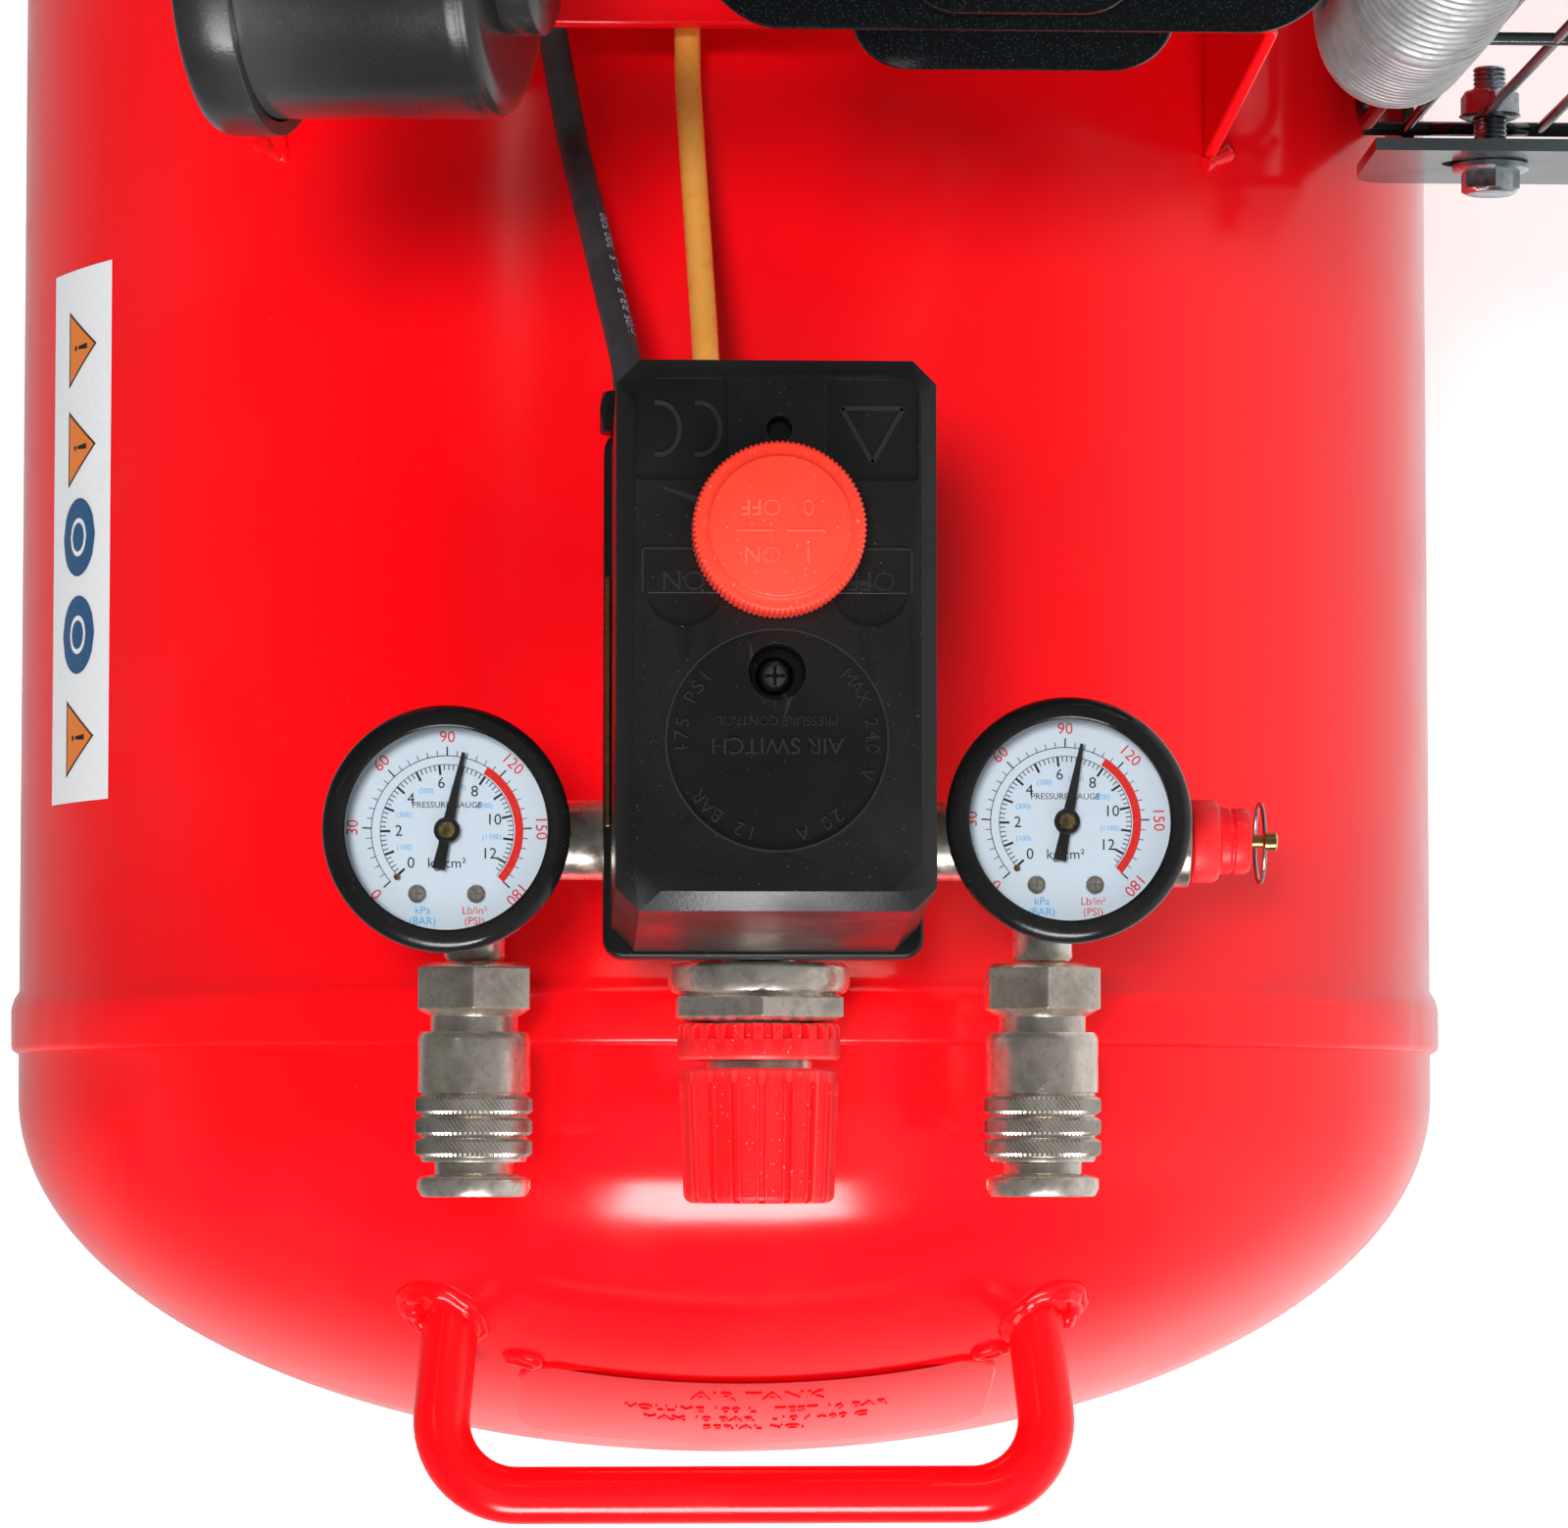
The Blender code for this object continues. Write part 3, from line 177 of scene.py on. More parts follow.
def dull_red(name, colour, rough, grain):
    """Moulded or cast red part with worn, lighter edges."""
    look = Look(name, colour, rough)
    look.tint(look.window(look.noise(70), 0.35, 0.7, 0, 0.4), tuple(c * 0.75 for c in colour))
    worn = tuple(min(1, c * 1.1 + 0.05) for c in colour)
    look.tint(look.edges(0.52, 0.60), worn)
    look.tint(look.window(look.noise(1300, 1), 0.70, 0.78, 0, 0.35), (0.75, 0.45, 0.42))
    look.roughen(look.window(look.noise(160), 0.4, 0.7), rough + 0.12)
    look.bump(look.noise(grain, 3), 0.00003)
    return look.material


def flecked_black():
    """Gloss black paint with fine metal fleck and a painted bluish highlight along its convex edges."""
    look = Look("black_paint", (0.0022, 0.0026, 0.0032), 0.11)
    fleck = look.window(look.cells(1500), 0.28, 0.10)
    half_strength = look.node("Math", {0: fleck, 1: 0.5}, operation="MULTIPLY").outputs[0]
    look.tint(half_strength, (0.045, 0.060, 0.070))
    # Painted highlight: convex edges are tinted lighter and bluish, standing in for reflections on the
    # rounded edges.
    look.tint(look.edges(0.53, 0.62), (0.06, 0.075, 0.08))
    look.roughen(look.window(look.noise(50), 0.35, 0.7), 0.18)
    look.bump(look.noise(420, 2), 0.000015)
    look.bump(look.cells(1500), 0.000012)
    return look.material


def satin_black(name, shade, rough):
    """Moulded black plastic with fine grain, rub marks and a little dust."""
    look = Look(name, (shade, shade * 0.97, shade * 1.05), rough)
    look.tint(look.window(look.noise(28), 0.40, 0.75, 0, 0.6), (shade * 1.9,) * 3)
    look.tint(look.edges(0.52, 0.60), (shade * 3.2,) * 3)
    look.tint(look.window(look.noise(2100, 1), 0.74, 0.79, 0, 0.35), (0.20, 0.19, 0.18))
    look.roughen(look.window(look.noise(45, 4), 0.40, 0.70), rough + 0.16)
    look.bump(look.noise(1200, 2), 0.00003)
    return look.material


def plated(name, colour, rough, dark, streak=(1, 1, 1), metal=1.0):
    """Plated or machined metal with darker patches, fine streaks and rubbed edges."""
    look = Look(name, colour, rough, metal)
    look.tint(look.window(look.noise(120, 4), 0.42, 0.72, 0, 0.75), dark)
    look.tint(look.window(look.noise(620, 2, streak), 0.50, 0.72, 0, 0.45), dark)
    look.tint(look.edges(0.52, 0.60), tuple(min(1, c * 1.25) for c in colour))
    look.roughen(look.window(look.noise(260, 3, streak), 0.35, 0.7), min(1, rough + 0.16))
    look.bump(look.noise(900, 2, streak), 0.000012)
    return look.material


def drawn_copper():
    """Bright copper tube with darker patches and small dents."""
    look = Look("copper", (1.0, 0.44, 0.085), 0.22, 0.18)
    look.tint(look.window(look.noise(120, 4), 0.42, 0.72, 0, 0.6), (1.0, 0.37, 0.06))
    look.tint(look.window(look.noise(300, 2), 0.55, 0.75, 0, 0.4), (0.86, 0.27, 0.04))
    look.roughen(look.window(look.noise(260, 3), 0.35, 0.7), 0.40)
    look.bump(look.noise(300, 2), 0.00002)
    return look.material


def rough_iron():
    """Black painted sand casting."""
    look = Look("cast_iron", (0.018, 0.018, 0.020), 0.42, 0.25)
    look.tint(look.window(look.noise(60), 0.4, 0.7, 0, 0.6), (0.035, 0.034, 0.034))
    look.tint(look.edges(0.54, 0.64), (0.09, 0.085, 0.08))
    look.roughen(look.window(look.noise(200), 0.4, 0.7), 0.62)
    look.bump(look.noise(420, 4), 0.00018)
    return look.material


def matt_rubber():
    """Black rubber or cable sheath with bloom and rubbed patches."""
    look = Look("rubber", (0.034, 0.033, 0.036), 0.38)
    look.tint(look.window(look.noise(90), 0.40, 0.72, 0, 0.8), (0.050, 0.048, 0.052))
    look.tint(look.window(look.noise(1500, 1), 0.72, 0.78, 0, 0.4), (0.16, 0.15, 0.15))
    look.roughen(look.window(look.noise(140), 0.4, 0.7), 0.68)
    look.bump(look.noise(900, 3), 0.00005)
    return look.material


def printed_card():
    """Bluish white dial with a faint print grain."""
    look = Look("dial_white", (0.62, 0.71, 0.80), 0.45)
    look.tint(look.window(look.noise(140), 0.4, 0.7, 0, 0.35), (0.62, 0.71, 0.82))
    look.bump(look.noise(1800, 1), 0.00001)
    return look.material


def ink(name, colour, rough=0.5):
    """Printing ink with slightly uneven cover."""
    look = Look(name, colour, rough)
    lighter = tuple(c * 0.8 + 0.06 for c in colour)
    look.tint(look.window(look.noise(900, 2), 0.50, 0.75, 0, 0.5), lighter)
    look.bump(look.noise(1600, 1), 0.00001)
    return look.material


def thin_glass():
    """Clear window: what is behind it shows, with a reflection by angle."""
    look = Look("clear_lens", (1, 1, 1), 0.03)
    clear = look.node("BsdfTransparent").outputs[0]
    glare = look.node("BsdfGlossy", {"Color": (1, 1, 1, 1), "Roughness": 0.03}).outputs[0]
    share = look.node("Fresnel", {"IOR": 1.45}).outputs[0]
    mixed = look.node("MixShader", {0: share, 1: clear, 2: glare}).outputs[0]
    look.links.new(mixed, look.nodes["Material Output"].inputs["Surface"])
    return look.material


LOOKS = {
    "red_paint": gloss_red(),
    "black_paint": flecked_black(),
    "black_plastic": satin_black("black_plastic", 0.0055, 0.30),
    "gauge_black": satin_black("gauge_black", 0.007, 0.12),
    "filter_black": satin_black("filter_black", 0.016, 0.20),
    "knob_orange": dull_red("knob_orange", (0.95, 0.045, 0.022), 0.42, 800),
    "regulator_red": dull_red("regulator_red", (0.92, 0.010, 0.014), 0.34, 500),
    "nickel": plated("nickel", (0.86, 0.77, 0.68), 0.22, (0.44, 0.38, 0.32), metal=0.88),
    "zinc": plated("zinc", (0.62, 0.68, 0.72), 0.24, (0.36, 0.42, 0.46)),
    "steel": plated("steel", (0.56, 0.56, 0.57), 0.26, (0.30, 0.29, 0.29), (1, 6, 1)),
    "cast_iron": rough_iron(),
    "aluminium": plated("aluminium", (0.50, 0.49, 0.50), 0.42, (0.32, 0.31, 0.32), metal=0.75),
    "copper": drawn_copper(),
    "brass": plated("brass", (0.80, 0.58, 0.22), 0.22, (0.48, 0.32, 0.10)),
    "rubber": matt_rubber(),
    "dial_white": printed_card(),
    "clear_lens": thin_glass(),
    "ink_black": ink("ink_black", (0.010, 0.010, 0.012)),
    "ink_red": ink("ink_red", (0.72, 0.020, 0.015)),
    "ink_blue": ink("ink_blue", (0.05, 0.42, 0.80)),
    "print_grey": ink("print_grey", (0.34, 0.42, 0.48)),
    "label_white": ink("label_white", (0.84, 0.85, 0.87), 0.30),
    "label_orange": ink("label_orange", (0.82, 0.20, 0.015), 0.30),
    "label_blue": ink("label_blue", (0.012, 0.09, 0.22), 0.30),
}


# ---- Mesh helpers ----------------------------------------------------------------------------

SHARP = 38


def place(obj, look, body, stands_for, bevel, sharp):
    """Give a mesh object its finish, its body, the nodes it stands for and soft edges."""
    obj.data.materials.append(LOOKS[look])
    obj.data.shade_smooth()
    obj.data.set_sharp_from_angle(angle=math.radians(sharp))
    if bevel:
        mod = obj.modifiers.new("Edges", "BEVEL")
        mod.width = bevel
        mod.segments = 2
        mod.limit_method = "ANGLE"
        mod.angle_limit = math.radians(sharp)
        mod.harden_normals = True
    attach(obj, body)
    if stands_for:
        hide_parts(*stands_for)
    return obj


def new_object(name, verts, faces, at=(0, 0, 0)):
    """Mesh object whose origin stands at a point in tank coordinates."""
    mesh = bpy.data.meshes.new(name)
    mesh.from_pydata([tuple(v) for v in verts], [], faces)
    bm = bmesh.new()
    bm.from_mesh(mesh)
    bmesh.ops.recalc_face_normals(bm, faces=bm.faces)
    bm.to_mesh(mesh)
    bm.free()
    obj = bpy.data.objects.new(name, mesh)
    bpy.context.scene.collection.objects.link(obj)
    obj.location = AXIS + Vector(at)
    return obj


def build(name, verts, faces, look, body="frame", stands_for=(), bevel=0.0, sharp=SHARP,
          turn=None, at=(0, 0, 0)):
    """Make one piece from vertices and faces given in tank coordinates, or about a point."""
    obj = new_object(name, verts, faces, at)
    if turn is not None:
        obj.rotation_euler = turn.to_euler()
    bpy.context.view_layer.update()
    return place(obj, look, body, stands_for, bevel, sharp)


class Parts:
    """Vertices and faces of several shapes gathered into one mesh."""

    def __init__(self):
        self.verts = []
        self.faces = []

    def add(self, verts, faces, matrix=None):
        """Add a shape, moved by a matrix."""
        start = len(self.verts)
        self.verts += [matrix @ v if matrix else v for v in verts]
        self.faces += [tuple(start + i for i in face) for face in faces]

    def build(self, name, look, **options):
        """Make the gathered shapes one piece."""
        return build(name, self.verts, self.faces, look, **options)


def skin(rings, closed=False, caps=True, loop=True):
    """Vertices and faces over rings of equal point count; a one-point ring is a pole."""
    verts = []
    starts = []
    for ring in rings:
        starts.append(len(verts))
        verts.extend(ring)
    faces = []
    for i in range(len(rings) if closed else len(rings) - 1):
        j = (i + 1) % len(rings)
        a, b = starts[i], starts[j]
        na, nb = len(rings[i]), len(rings[j])
        count = max(na, nb)
        if count == 1:
            continue
        for k in range(count if loop else count - 1):
            m = (k + 1) % count
            if na == 1:
                faces.append((a, b + m, b + k))
            elif nb == 1:
                faces.append((a + k, a + m, b))
            else:
                faces.append((a + k, a + m, b + m, b + k))
    if caps and not closed:
        for i in (0, len(rings) - 1):
            if len(rings[i]) > 1:
                faces.append(tuple(range(starts[i], starts[i] + len(rings[i]))))
    return verts, faces


def along(direction):
    """Rotation that turns local +Z to the given direction."""
    return Vector(direction).to_track_quat("Z", "Y").to_matrix()


def around(count):
    """Angles of points spaced evenly round a circle."""
    return [2 * math.pi * k / count for k in range(count)]


def spot_at(point, direction):
    """Matrix that stands local +Z along a direction at a point."""
    return Matrix.Translation(point) @ along(direction).to_4x4()


def hexagon(angle):
    """Radius multiplier of a hexagon whose flat faces local +X."""
    sector = math.radians(60)
    return 1 / math.cos((angle + sector / 2) % sector - sector / 2)


def lathe(sections, segments, radial=None):
    """Rings turned from (radius, height[, "hex"]) sections; radial may alter each radius."""
    rings = []
    for section in sections:
        radius, height = section[:2]
        if radius == 0:
            rings.append([Vector((0, 0, height))])
            continue
        ring = []
        for angle in around(segments):
            r = radius * (hexagon(angle) if "hex" in section else 1)
            if radial:
                r = radial(angle, r, height)
            ring.append(Vector((r * math.cos(angle), r * math.sin(angle), height)))
        rings.append(ring)
    return rings


def solid(sections, segments, radial=None):
    """Vertices and faces of a turned shape whose profile closes on the axis or on itself."""
    return skin(lathe(sections, segments, radial), closed=True)


def turned(name, sections, look, at=(0, 0, 0), direction=(0, 0, 1), segments=64, radial=None,
           **options):
    """A turned piece about a line through at."""
    verts, faces = solid(sections, segments, radial)
    return build(name, verts, faces, look, at=at, turn=along(direction), **options)


def arc(centre_r, centre_h, radius, start, end, steps):
    """Profile points (radius, height) along an arc; 0 degrees points outwards."""
    points = []
    for k in range(steps + 1):
        angle = math.radians(start + (end - start) * k / steps)
        points.append((centre_r + radius * math.cos(angle), centre_h + radius * math.sin(angle)))
    return points


def rounded_rect(half_x, low_y, high_y, radius, z, per_corner=8):
    """Points of a rectangle with rounded corners at height z."""
    centres = (
        (half_x - radius, high_y - radius, 0),
        (-half_x + radius, high_y - radius, 90),
        (-half_x + radius, low_y + radius, 180),
        (half_x - radius, low_y + radius, 270),
    )
    ring = []
    for cx, cy, start in centres:
        for k in range(per_corner + 1):
            angle = math.radians(start + 90 * k / per_corner)
            ring.append(Vector((cx + radius * math.cos(angle), cy + radius * math.sin(angle), z)))
    return ring


def bend_corners(points, radius, steps=12):
    """Round every inner corner of a path with an arc of the given radius."""
    pts = [Vector(p) for p in points]
    path = [pts[0]]
    for before, corner, after in zip(pts, pts[1:], pts[2:]):
        u = (before - corner).normalized()
        v = (after - corner).normalized()
        half = u.angle(v) / 2
        reach = radius / math.tan(half)
        centre = corner + (u + v).normalized() * radius / math.sin(half)
        first = (corner + u * reach - centre).normalized()
        last = (corner + v * reach - centre).normalized()
        path += [centre + first.slerp(last, k / steps) * radius for k in range(steps + 1)]
    path.append(pts[-1])
    return path


def resample(path, step):
    """Points at equal distances along a path."""
    points = [path[0]]
    carried = 0.0
    for a, b in zip(path, path[1:]):
        length = (b - a).length
        reach = step - carried
        while reach < length:
            points.append(a.lerp(b, reach / length))
            reach += step
        carried = length - (reach - step)
    if (points[-1] - path[-1]).length > step * 0.3:
        points.append(path[-1])
    return points


def sweep(path, radius, sides, loop=False):
    """Vertices and faces of a round rod along a path; radius may be a function of the index."""
    rings = []
    normal = None
    count = len(path)
    for i, point in enumerate(path):
        ahead = path[(i + 1) % count if loop else min(i + 1, count - 1)]
        behind = path[i - 1 if loop or i else 0]
        tangent = (ahead - behind).normalized()
        if normal is None:
            normal = tangent.orthogonal().normalized()
        normal = (normal - tangent * normal.dot(tangent)).normalized()
        side = tangent.cross(normal)
        r = radius(i) if callable(radius) else radius
        rings.append([point + r * (normal * math.cos(a) + side * math.sin(a))
                      for a in around(sides)])
    return skin(rings, closed=loop)


def swept(name, path, radius, look, sides, loop=False, **options):
    """A round rod as a piece."""
    verts, faces = sweep(path, radius, sides, loop)
    return build(name, verts, faces, look, **options)


def box_shape(low, high):
    """Vertices and faces of a box between two corners."""
    xs, ys, zs = zip(low, high)
    ring = [(0, 0), (1, 0), (1, 1), (0, 1)]
    return skin([[Vector((xs[i], ys[j], z)) for i, j in ring] for z in zs])


def lettering(text, size, depth=0.0):
    """Vertices and faces of text centred on the origin in the XY plane."""
    curve = bpy.data.curves.new("lettering", "FONT")
    curve.body = text
    curve.size = size
    curve.align_x = "CENTER"
    curve.align_y = "CENTER"
    curve.extrude = depth
    curve.resolution_u = 3
    obj = bpy.data.objects.new("lettering", curve)
    bpy.context.scene.collection.objects.link(obj)
    bpy.context.view_layer.update()
    depsgraph = bpy.context.evaluated_depsgraph_get()
    mesh = bpy.data.meshes.new_from_object(obj.evaluated_get(depsgraph))
    verts = [v.co.copy() for v in mesh.vertices]
    faces = [tuple(p.vertices) for p in mesh.polygons]
    bpy.data.objects.remove(obj)
    bpy.data.meshes.remove(mesh)
    return verts, faces


def shifted(x, y, z, turn=0.0):
    """Matrix that turns about Z by degrees and then moves."""
    return Matrix.Translation((x, y, z)) @ Matrix.Rotation(math.radians(turn), 4, "Z")


def cut(target, tool_verts, tool_faces):
    """Cut a shape given in tank coordinates out of a piece, before its other modifiers."""
    tool = new_object("tool", tool_verts, tool_faces)
    mod = target.modifiers.new("Cut", "BOOLEAN")
    mod.operation = "DIFFERENCE"
    mod.solver = "EXACT"
    mod.object = tool
    while target.modifiers[0] != mod:
        with bpy.context.temp_override(object=target):
            bpy.ops.object.modifier_move_up(modifier=mod.name)
    with bpy.context.temp_override(object=target):
        bpy.ops.object.modifier_apply(modifier=mod.name)
    bpy.data.objects.remove(tool)
    target.data.shade_smooth()
    target.data.set_sharp_from_angle(angle=math.radians(SHARP))


def weld_bead(parts, path, radius, seed, loop=False):
    """Add a lumpy weld bead along a path."""
    def lumpy(i):
        return radius * (0.85 + 0.5 * noise.noise(Vector((i * 0.45, seed, 0))))
    parts.add(*sweep(path, lumpy, 10, loop))


# ---- Camera, floor and light -----------------------------------------------------------------

CAMERA_PLACE = Vector((-0.051, -0.026, 1.482))
CAMERA_HEADING = Vector((0.0449, 0.0648, -1)).normalized()
LENS_MM = 128.7
LIGHT_TARGET = Vector((0, 0, 0.15))


def camera():
    """Camera high above the handle end, looking almost straight down."""
    data = bpy.data.cameras.new("camera")
    data.lens = LENS_MM
    data.sensor_width = 36
    data.clip_end = 50
    obj = bpy.data.objects.new("camera", data)
    bpy.context.scene.collection.objects.link(obj)
    side = CAMERA_HEADING.cross(Vector((0, 1, 0))).normalized()
    up = side.cross(CAMERA_HEADING)
    turn = Matrix((side, up, -CAMERA_HEADING)).transposed()
    obj.matrix_world = Matrix.Translation(AXIS + CAMERA_PLACE) @ turn.to_4x4()
    bpy.context.scene.camera = obj


def floor():
    """Plain white floor that gives off a little light, so that it shows as near white."""
    mesh = bpy.data.meshes.new("floor")
    side = 30
    corners = [(-side, -side, 0), (side, -side, 0), (side, side, 0), (-side, side, 0)]
    mesh.from_pydata(corners, [], [(0, 1, 2, 3)])
    obj = bpy.data.objects.new("floor", mesh)
    bpy.context.scene.collection.objects.link(obj)
    obj.location = (0, 0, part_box("foot_left")[0].z)
    look = Look("floor", (0.90, 0.90, 0.90), 0.9)
    look.shader.inputs["Emission Color"].default_value = (1, 1, 1, 1)
    look.shader.inputs["Emission Strength"].default_value = 0.30
    mesh.materials.append(look.material)
    obj.visible_glossy = False


def softbox(name, direction, distance, size, radiance, mirrored=True):
    """Area light that faces the switch; one that isn't mirrored doesn't show in gloss."""
    data = bpy.data.lights.new(name, "AREA")
    data.shape = "RECTANGLE"
    data.size, data.size_y = size
    data.energy = radiance * math.pi * size[0] * size[1]
    obj = bpy.data.objects.new(name, data)
    bpy.context.scene.collection.objects.link(obj)
    out = Vector(direction).normalized()
    obj.location = AXIS + LIGHT_TARGET + out * distance
    obj.rotation_euler = out.to_track_quat("Z", "Y").to_euler()
    obj.visible_glossy = mirrored


def studio():
    """White to the camera; to the object bright at the right and below, dim elsewhere."""
    world = bpy.data.worlds.new("studio")
    bpy.context.scene.world = world
    world.use_nodes = True
    tree = world.node_tree
    background = tree.nodes["Background"]
    coords = tree.nodes.new("ShaderNodeTexCoord")
    split = tree.nodes.new("ShaderNodeSeparateXYZ")
    tree.links.new(coords.outputs["Generated"], split.inputs[0])

    def ramp(axis, low, high, start, end):
        node = tree.nodes.new("ShaderNodeMapRange")
        node.interpolation_type = "SMOOTHSTEP"
        tree.links.new(split.outputs[axis], node.inputs["Value"])
        levels = {"From Min": low, "From Max": high, "To Min": start, "To Max": end}
        for key, level in levels.items():
            node.inputs[key].default_value = level
        return node.outputs[0]

    def combine(operation, first, second):
        node = tree.nodes.new("ShaderNodeMath")
        node.operation = operation
        tree.links.new(first, node.inputs[0])
        tree.links.new(second, node.inputs[1])
        return node.outputs[0]
    across, along_tank = ramp("X", -0.55, 0.55, 0.06, 1.0), ramp("Y", -0.95, -0.45, 0.06, 1.0)
    sideways = combine("MULTIPLY", across, along_tank)
    product = combine("MULTIPLY", ramp("Z", 0.12, 0.75, 0.65, 0.14), sideways)
    total = combine("ADD", product, ramp("Z", -0.90, -0.40, 0.30, 0.0))
    seen = tree.nodes.new("ShaderNodeLightPath")
    pick = tree.nodes.new("ShaderNodeMix")
    tree.links.new(seen.outputs["Is Camera Ray"], pick.inputs[0])
    tree.links.new(total, pick.inputs[2])
    pick.inputs[3].default_value = 1.0
    tree.links.new(pick.outputs[0], background.inputs["Strength"])
    background.inputs["Color"].default_value = (1, 1, 1, 1)
    softbox("front_box", (0.0, -0.87, 0.50), 4.0, (2.0, 1.24), 16.0)
    softbox("left_box", (-0.56, 0.28, 0.79), 2.2, (0.30, 0.12), 2.0)
    softbox("rear_box", (0.35, 0.90, 0.50), 2.6, (1.0, 0.7), 2.5)
    softbox("key_fill", (-0.13, 0.06, 0.99), 2.6, (0.40, 0.40), 108.0, False)
    softbox("top_fill", (0.05, -0.50, 0.86), 3.0, (2.6, 2.6), 1.6, False)
    bpy.context.scene.view_settings.view_transform = "Standard"


camera()
floor()
studio()

# ---- Tank and frame --------------------------------------------------------------------------


def tank_skin():
    """Rolled shell with its raised bands and a low weld bead beside each."""
    band = TANK_R + BAND_PROUD
    edge = BAND_HALF
    half = [
        (TANK_R - 0.001, -0.0072), (TANK_R + 0.0006, -0.0070), (band - 0.0003, -0.0062),
        (band, -0.0052), (band, edge - 0.003), (band - 0.0003, edge - 0.0015),
        (TANK_R + 0.0012, edge), (TANK_R, edge + 0.0022),
    ]
    sections = half + [(r, TANK_END - y) for r, y in reversed(half)]
    steps = 14
    middle_y = [half[-1][1] + (TANK_END - 2 * half[-1][1]) * k / steps for k in range(1, steps)]
    sections[len(half):len(half)] = [(TANK_R, y) for y in middle_y]
    sections += [(TANK_R - WALL, TANK_END), (TANK_R - WALL, 0)]

    def ripple(angle, r, y):
        place_on_band = Vector((math.cos(angle) * 22, math.sin(angle) * 22, y * 30))
        bead = 0.00035 * noise.noise(place_on_band)
        return r + bead if r > TANK_R + GAP else r
    turned("tank_skin", sections, "red_paint", direction=(0, 1, 0), segments=224, radial=ripple,
           stands_for=["tank_shell"], sharp=60)


def tank_dome(name, node, y, direction):
    """Pressed head: a straight flange and a 2:1 ellipse."""
    steps = 40
    sections = [(TANK_R - WALL, GAP), (TANK_R, GAP), (TANK_R, FLANGE)]
    for k in range(1, steps + 1):
        angle = math.radians(90 * k / steps)
        radius = TANK_R * math.cos(angle) if k < steps else 0
        sections.append((radius, FLANGE + DOME_DEPTH * math.sin(angle)))
    sections += [(0, FLANGE + DOME_DEPTH - 0.004), (TANK_R - 2 * WALL, FLANGE)]
    turned(name, sections, "red_paint", (0, y, 0), direction, segments=224, stands_for=[node],
           sharp=60)


def on_dome(x, z, lift=0.0):
    """Point on the front dome above (x, z), lifted along its normal."""
    share = math.sqrt(max(0.0, 1 - (x * x + z * z) / TANK_R ** 2))
    point = Vector((x, -FLANGE - DOME_DEPTH * share, z))
    normal = Vector((x / TANK_R ** 2, -share / DOME_DEPTH, z / TANK_R ** 2)).normalized()
    return point + normal * lift


def handle():
    """Bent rod welded to the dome."""
    low, high = near("front_handle")
    r = 0.0068
    half = (high.x - low.x) / 2 - r
    reach = low.y + r
    z = (low.z + high.z) / 2 + 0.0035
    corners = (
        (-half + 0.006, -0.050, z - 0.0135), (-half, reach, z + 0.0005),
        (half, reach, z + 0.0005), (half - 0.006, -0.050, z - 0.0135),
    )
    path = [p for p in resample(bend_corners(corners, 0.018, 16), 0.002) if p.y < -0.060]
    swept("handle_rod", path, r, "red_paint", 28, stands_for=["front_handle"])
    welds = Parts()
    for side in (-1, 1):
        foot = Vector((side * (half - 0.0022), 0, z - 0.006))
        for ring, size in ((0.0078, 0.0026), (0.0096, 0.0016)):
            loop = []
            for k, turn in enumerate(around(36)):
                wobble = 0.0008 * noise.noise(Vector((k * 0.5, side, ring * 900)))
                spread = ring + wobble
                across, up = spread * math.cos(turn), spread * math.sin(turn)
                loop.append(on_dome(foot.x + across, foot.z + up))
            weld_bead(welds, loop, size, side + ring * 1000, True)
    welds.build("handle_welds", "red_paint", sharp=80)


def nameplate():
    """Thin plate that follows the dome, with raised lines of lettering."""
    plate_x, half_x = 0.004, 0.058
    top, low, corner = 0.124, 0.066, 0.012
    thick, margin = 0.0010, 0.0006
    outline = rounded_rect(half_x, low, top, corner, 0, 10)
    rings = []
    for inset, lift in ((0, 0.0), (0, 0.0007), (margin, thick)):
        ring = []
        for p in outline:
            shrink = 1 - inset / half_x
            x = plate_x + p.x * shrink
            z = (low + top) / 2 + (p.y - (low + top) / 2) * (1 - inset / (top - low) * 2)
            ring.append(on_dome(x, z, lift))
        rings.append(ring)
    plate = Parts()
    plate.add(*skin(rings, caps=False))
    rows, columns = 16, 30
    grid = []
    for j in range(rows + 1):
        z = low + margin + (top - low - 2 * margin) * j / rows
        short = max(0, corner - min(z - low, top - z))
        squeeze = corner - math.sqrt(corner ** 2 - short ** 2)
        reach = half_x - margin - squeeze
        spread = [plate_x + reach * (2 * i / columns - 1) for i in range(columns + 1)]
        grid.append([on_dome(x, z, thick) for x in spread])
    plate.add(*skin(grid, caps=False, loop=False))
    plate.build("dome_plate", "red_paint", sharp=50)
    raised = Parts()
    lines = (("AIR TANK", 0.0072, 0.115), ("VOLUME 100 L   TEST 16 BAR", 0.0050, 0.105),
             ("MAX 10 BAR   -10 / +60 C", 0.0050, 0.097), ("SERIAL NO.", 0.0050, 0.089))
    for text, size, z in lines:
        verts, faces = lettering(text, size, 0.00035)
        raised.add([on_dome(plate_x + v.x, z + v.y, thick + v.z) for v in verts], faces)
    raised.build("dome_plate_lettering", "red_paint")
    blobs = Parts()
    for x in (-0.053, 0.060):
        loop = [on_dome(x + 0.0035 * math.cos(a), top - 0.0005 + 0.002 * math.sin(a))
                for a in around(16)]
        weld_bead(blobs, loop, 0.0018, x * 90, True)
    blobs.build("dome_plate_welds", "red_paint", sharp=80)


def on_side(angle, y, lift):
    """Point on the tank's left side, at an angle in degrees from the top."""
    turn = math.radians(angle)
    r = TANK_R + lift
    return Vector((-r * math.sin(turn), y, r * math.cos(turn)))


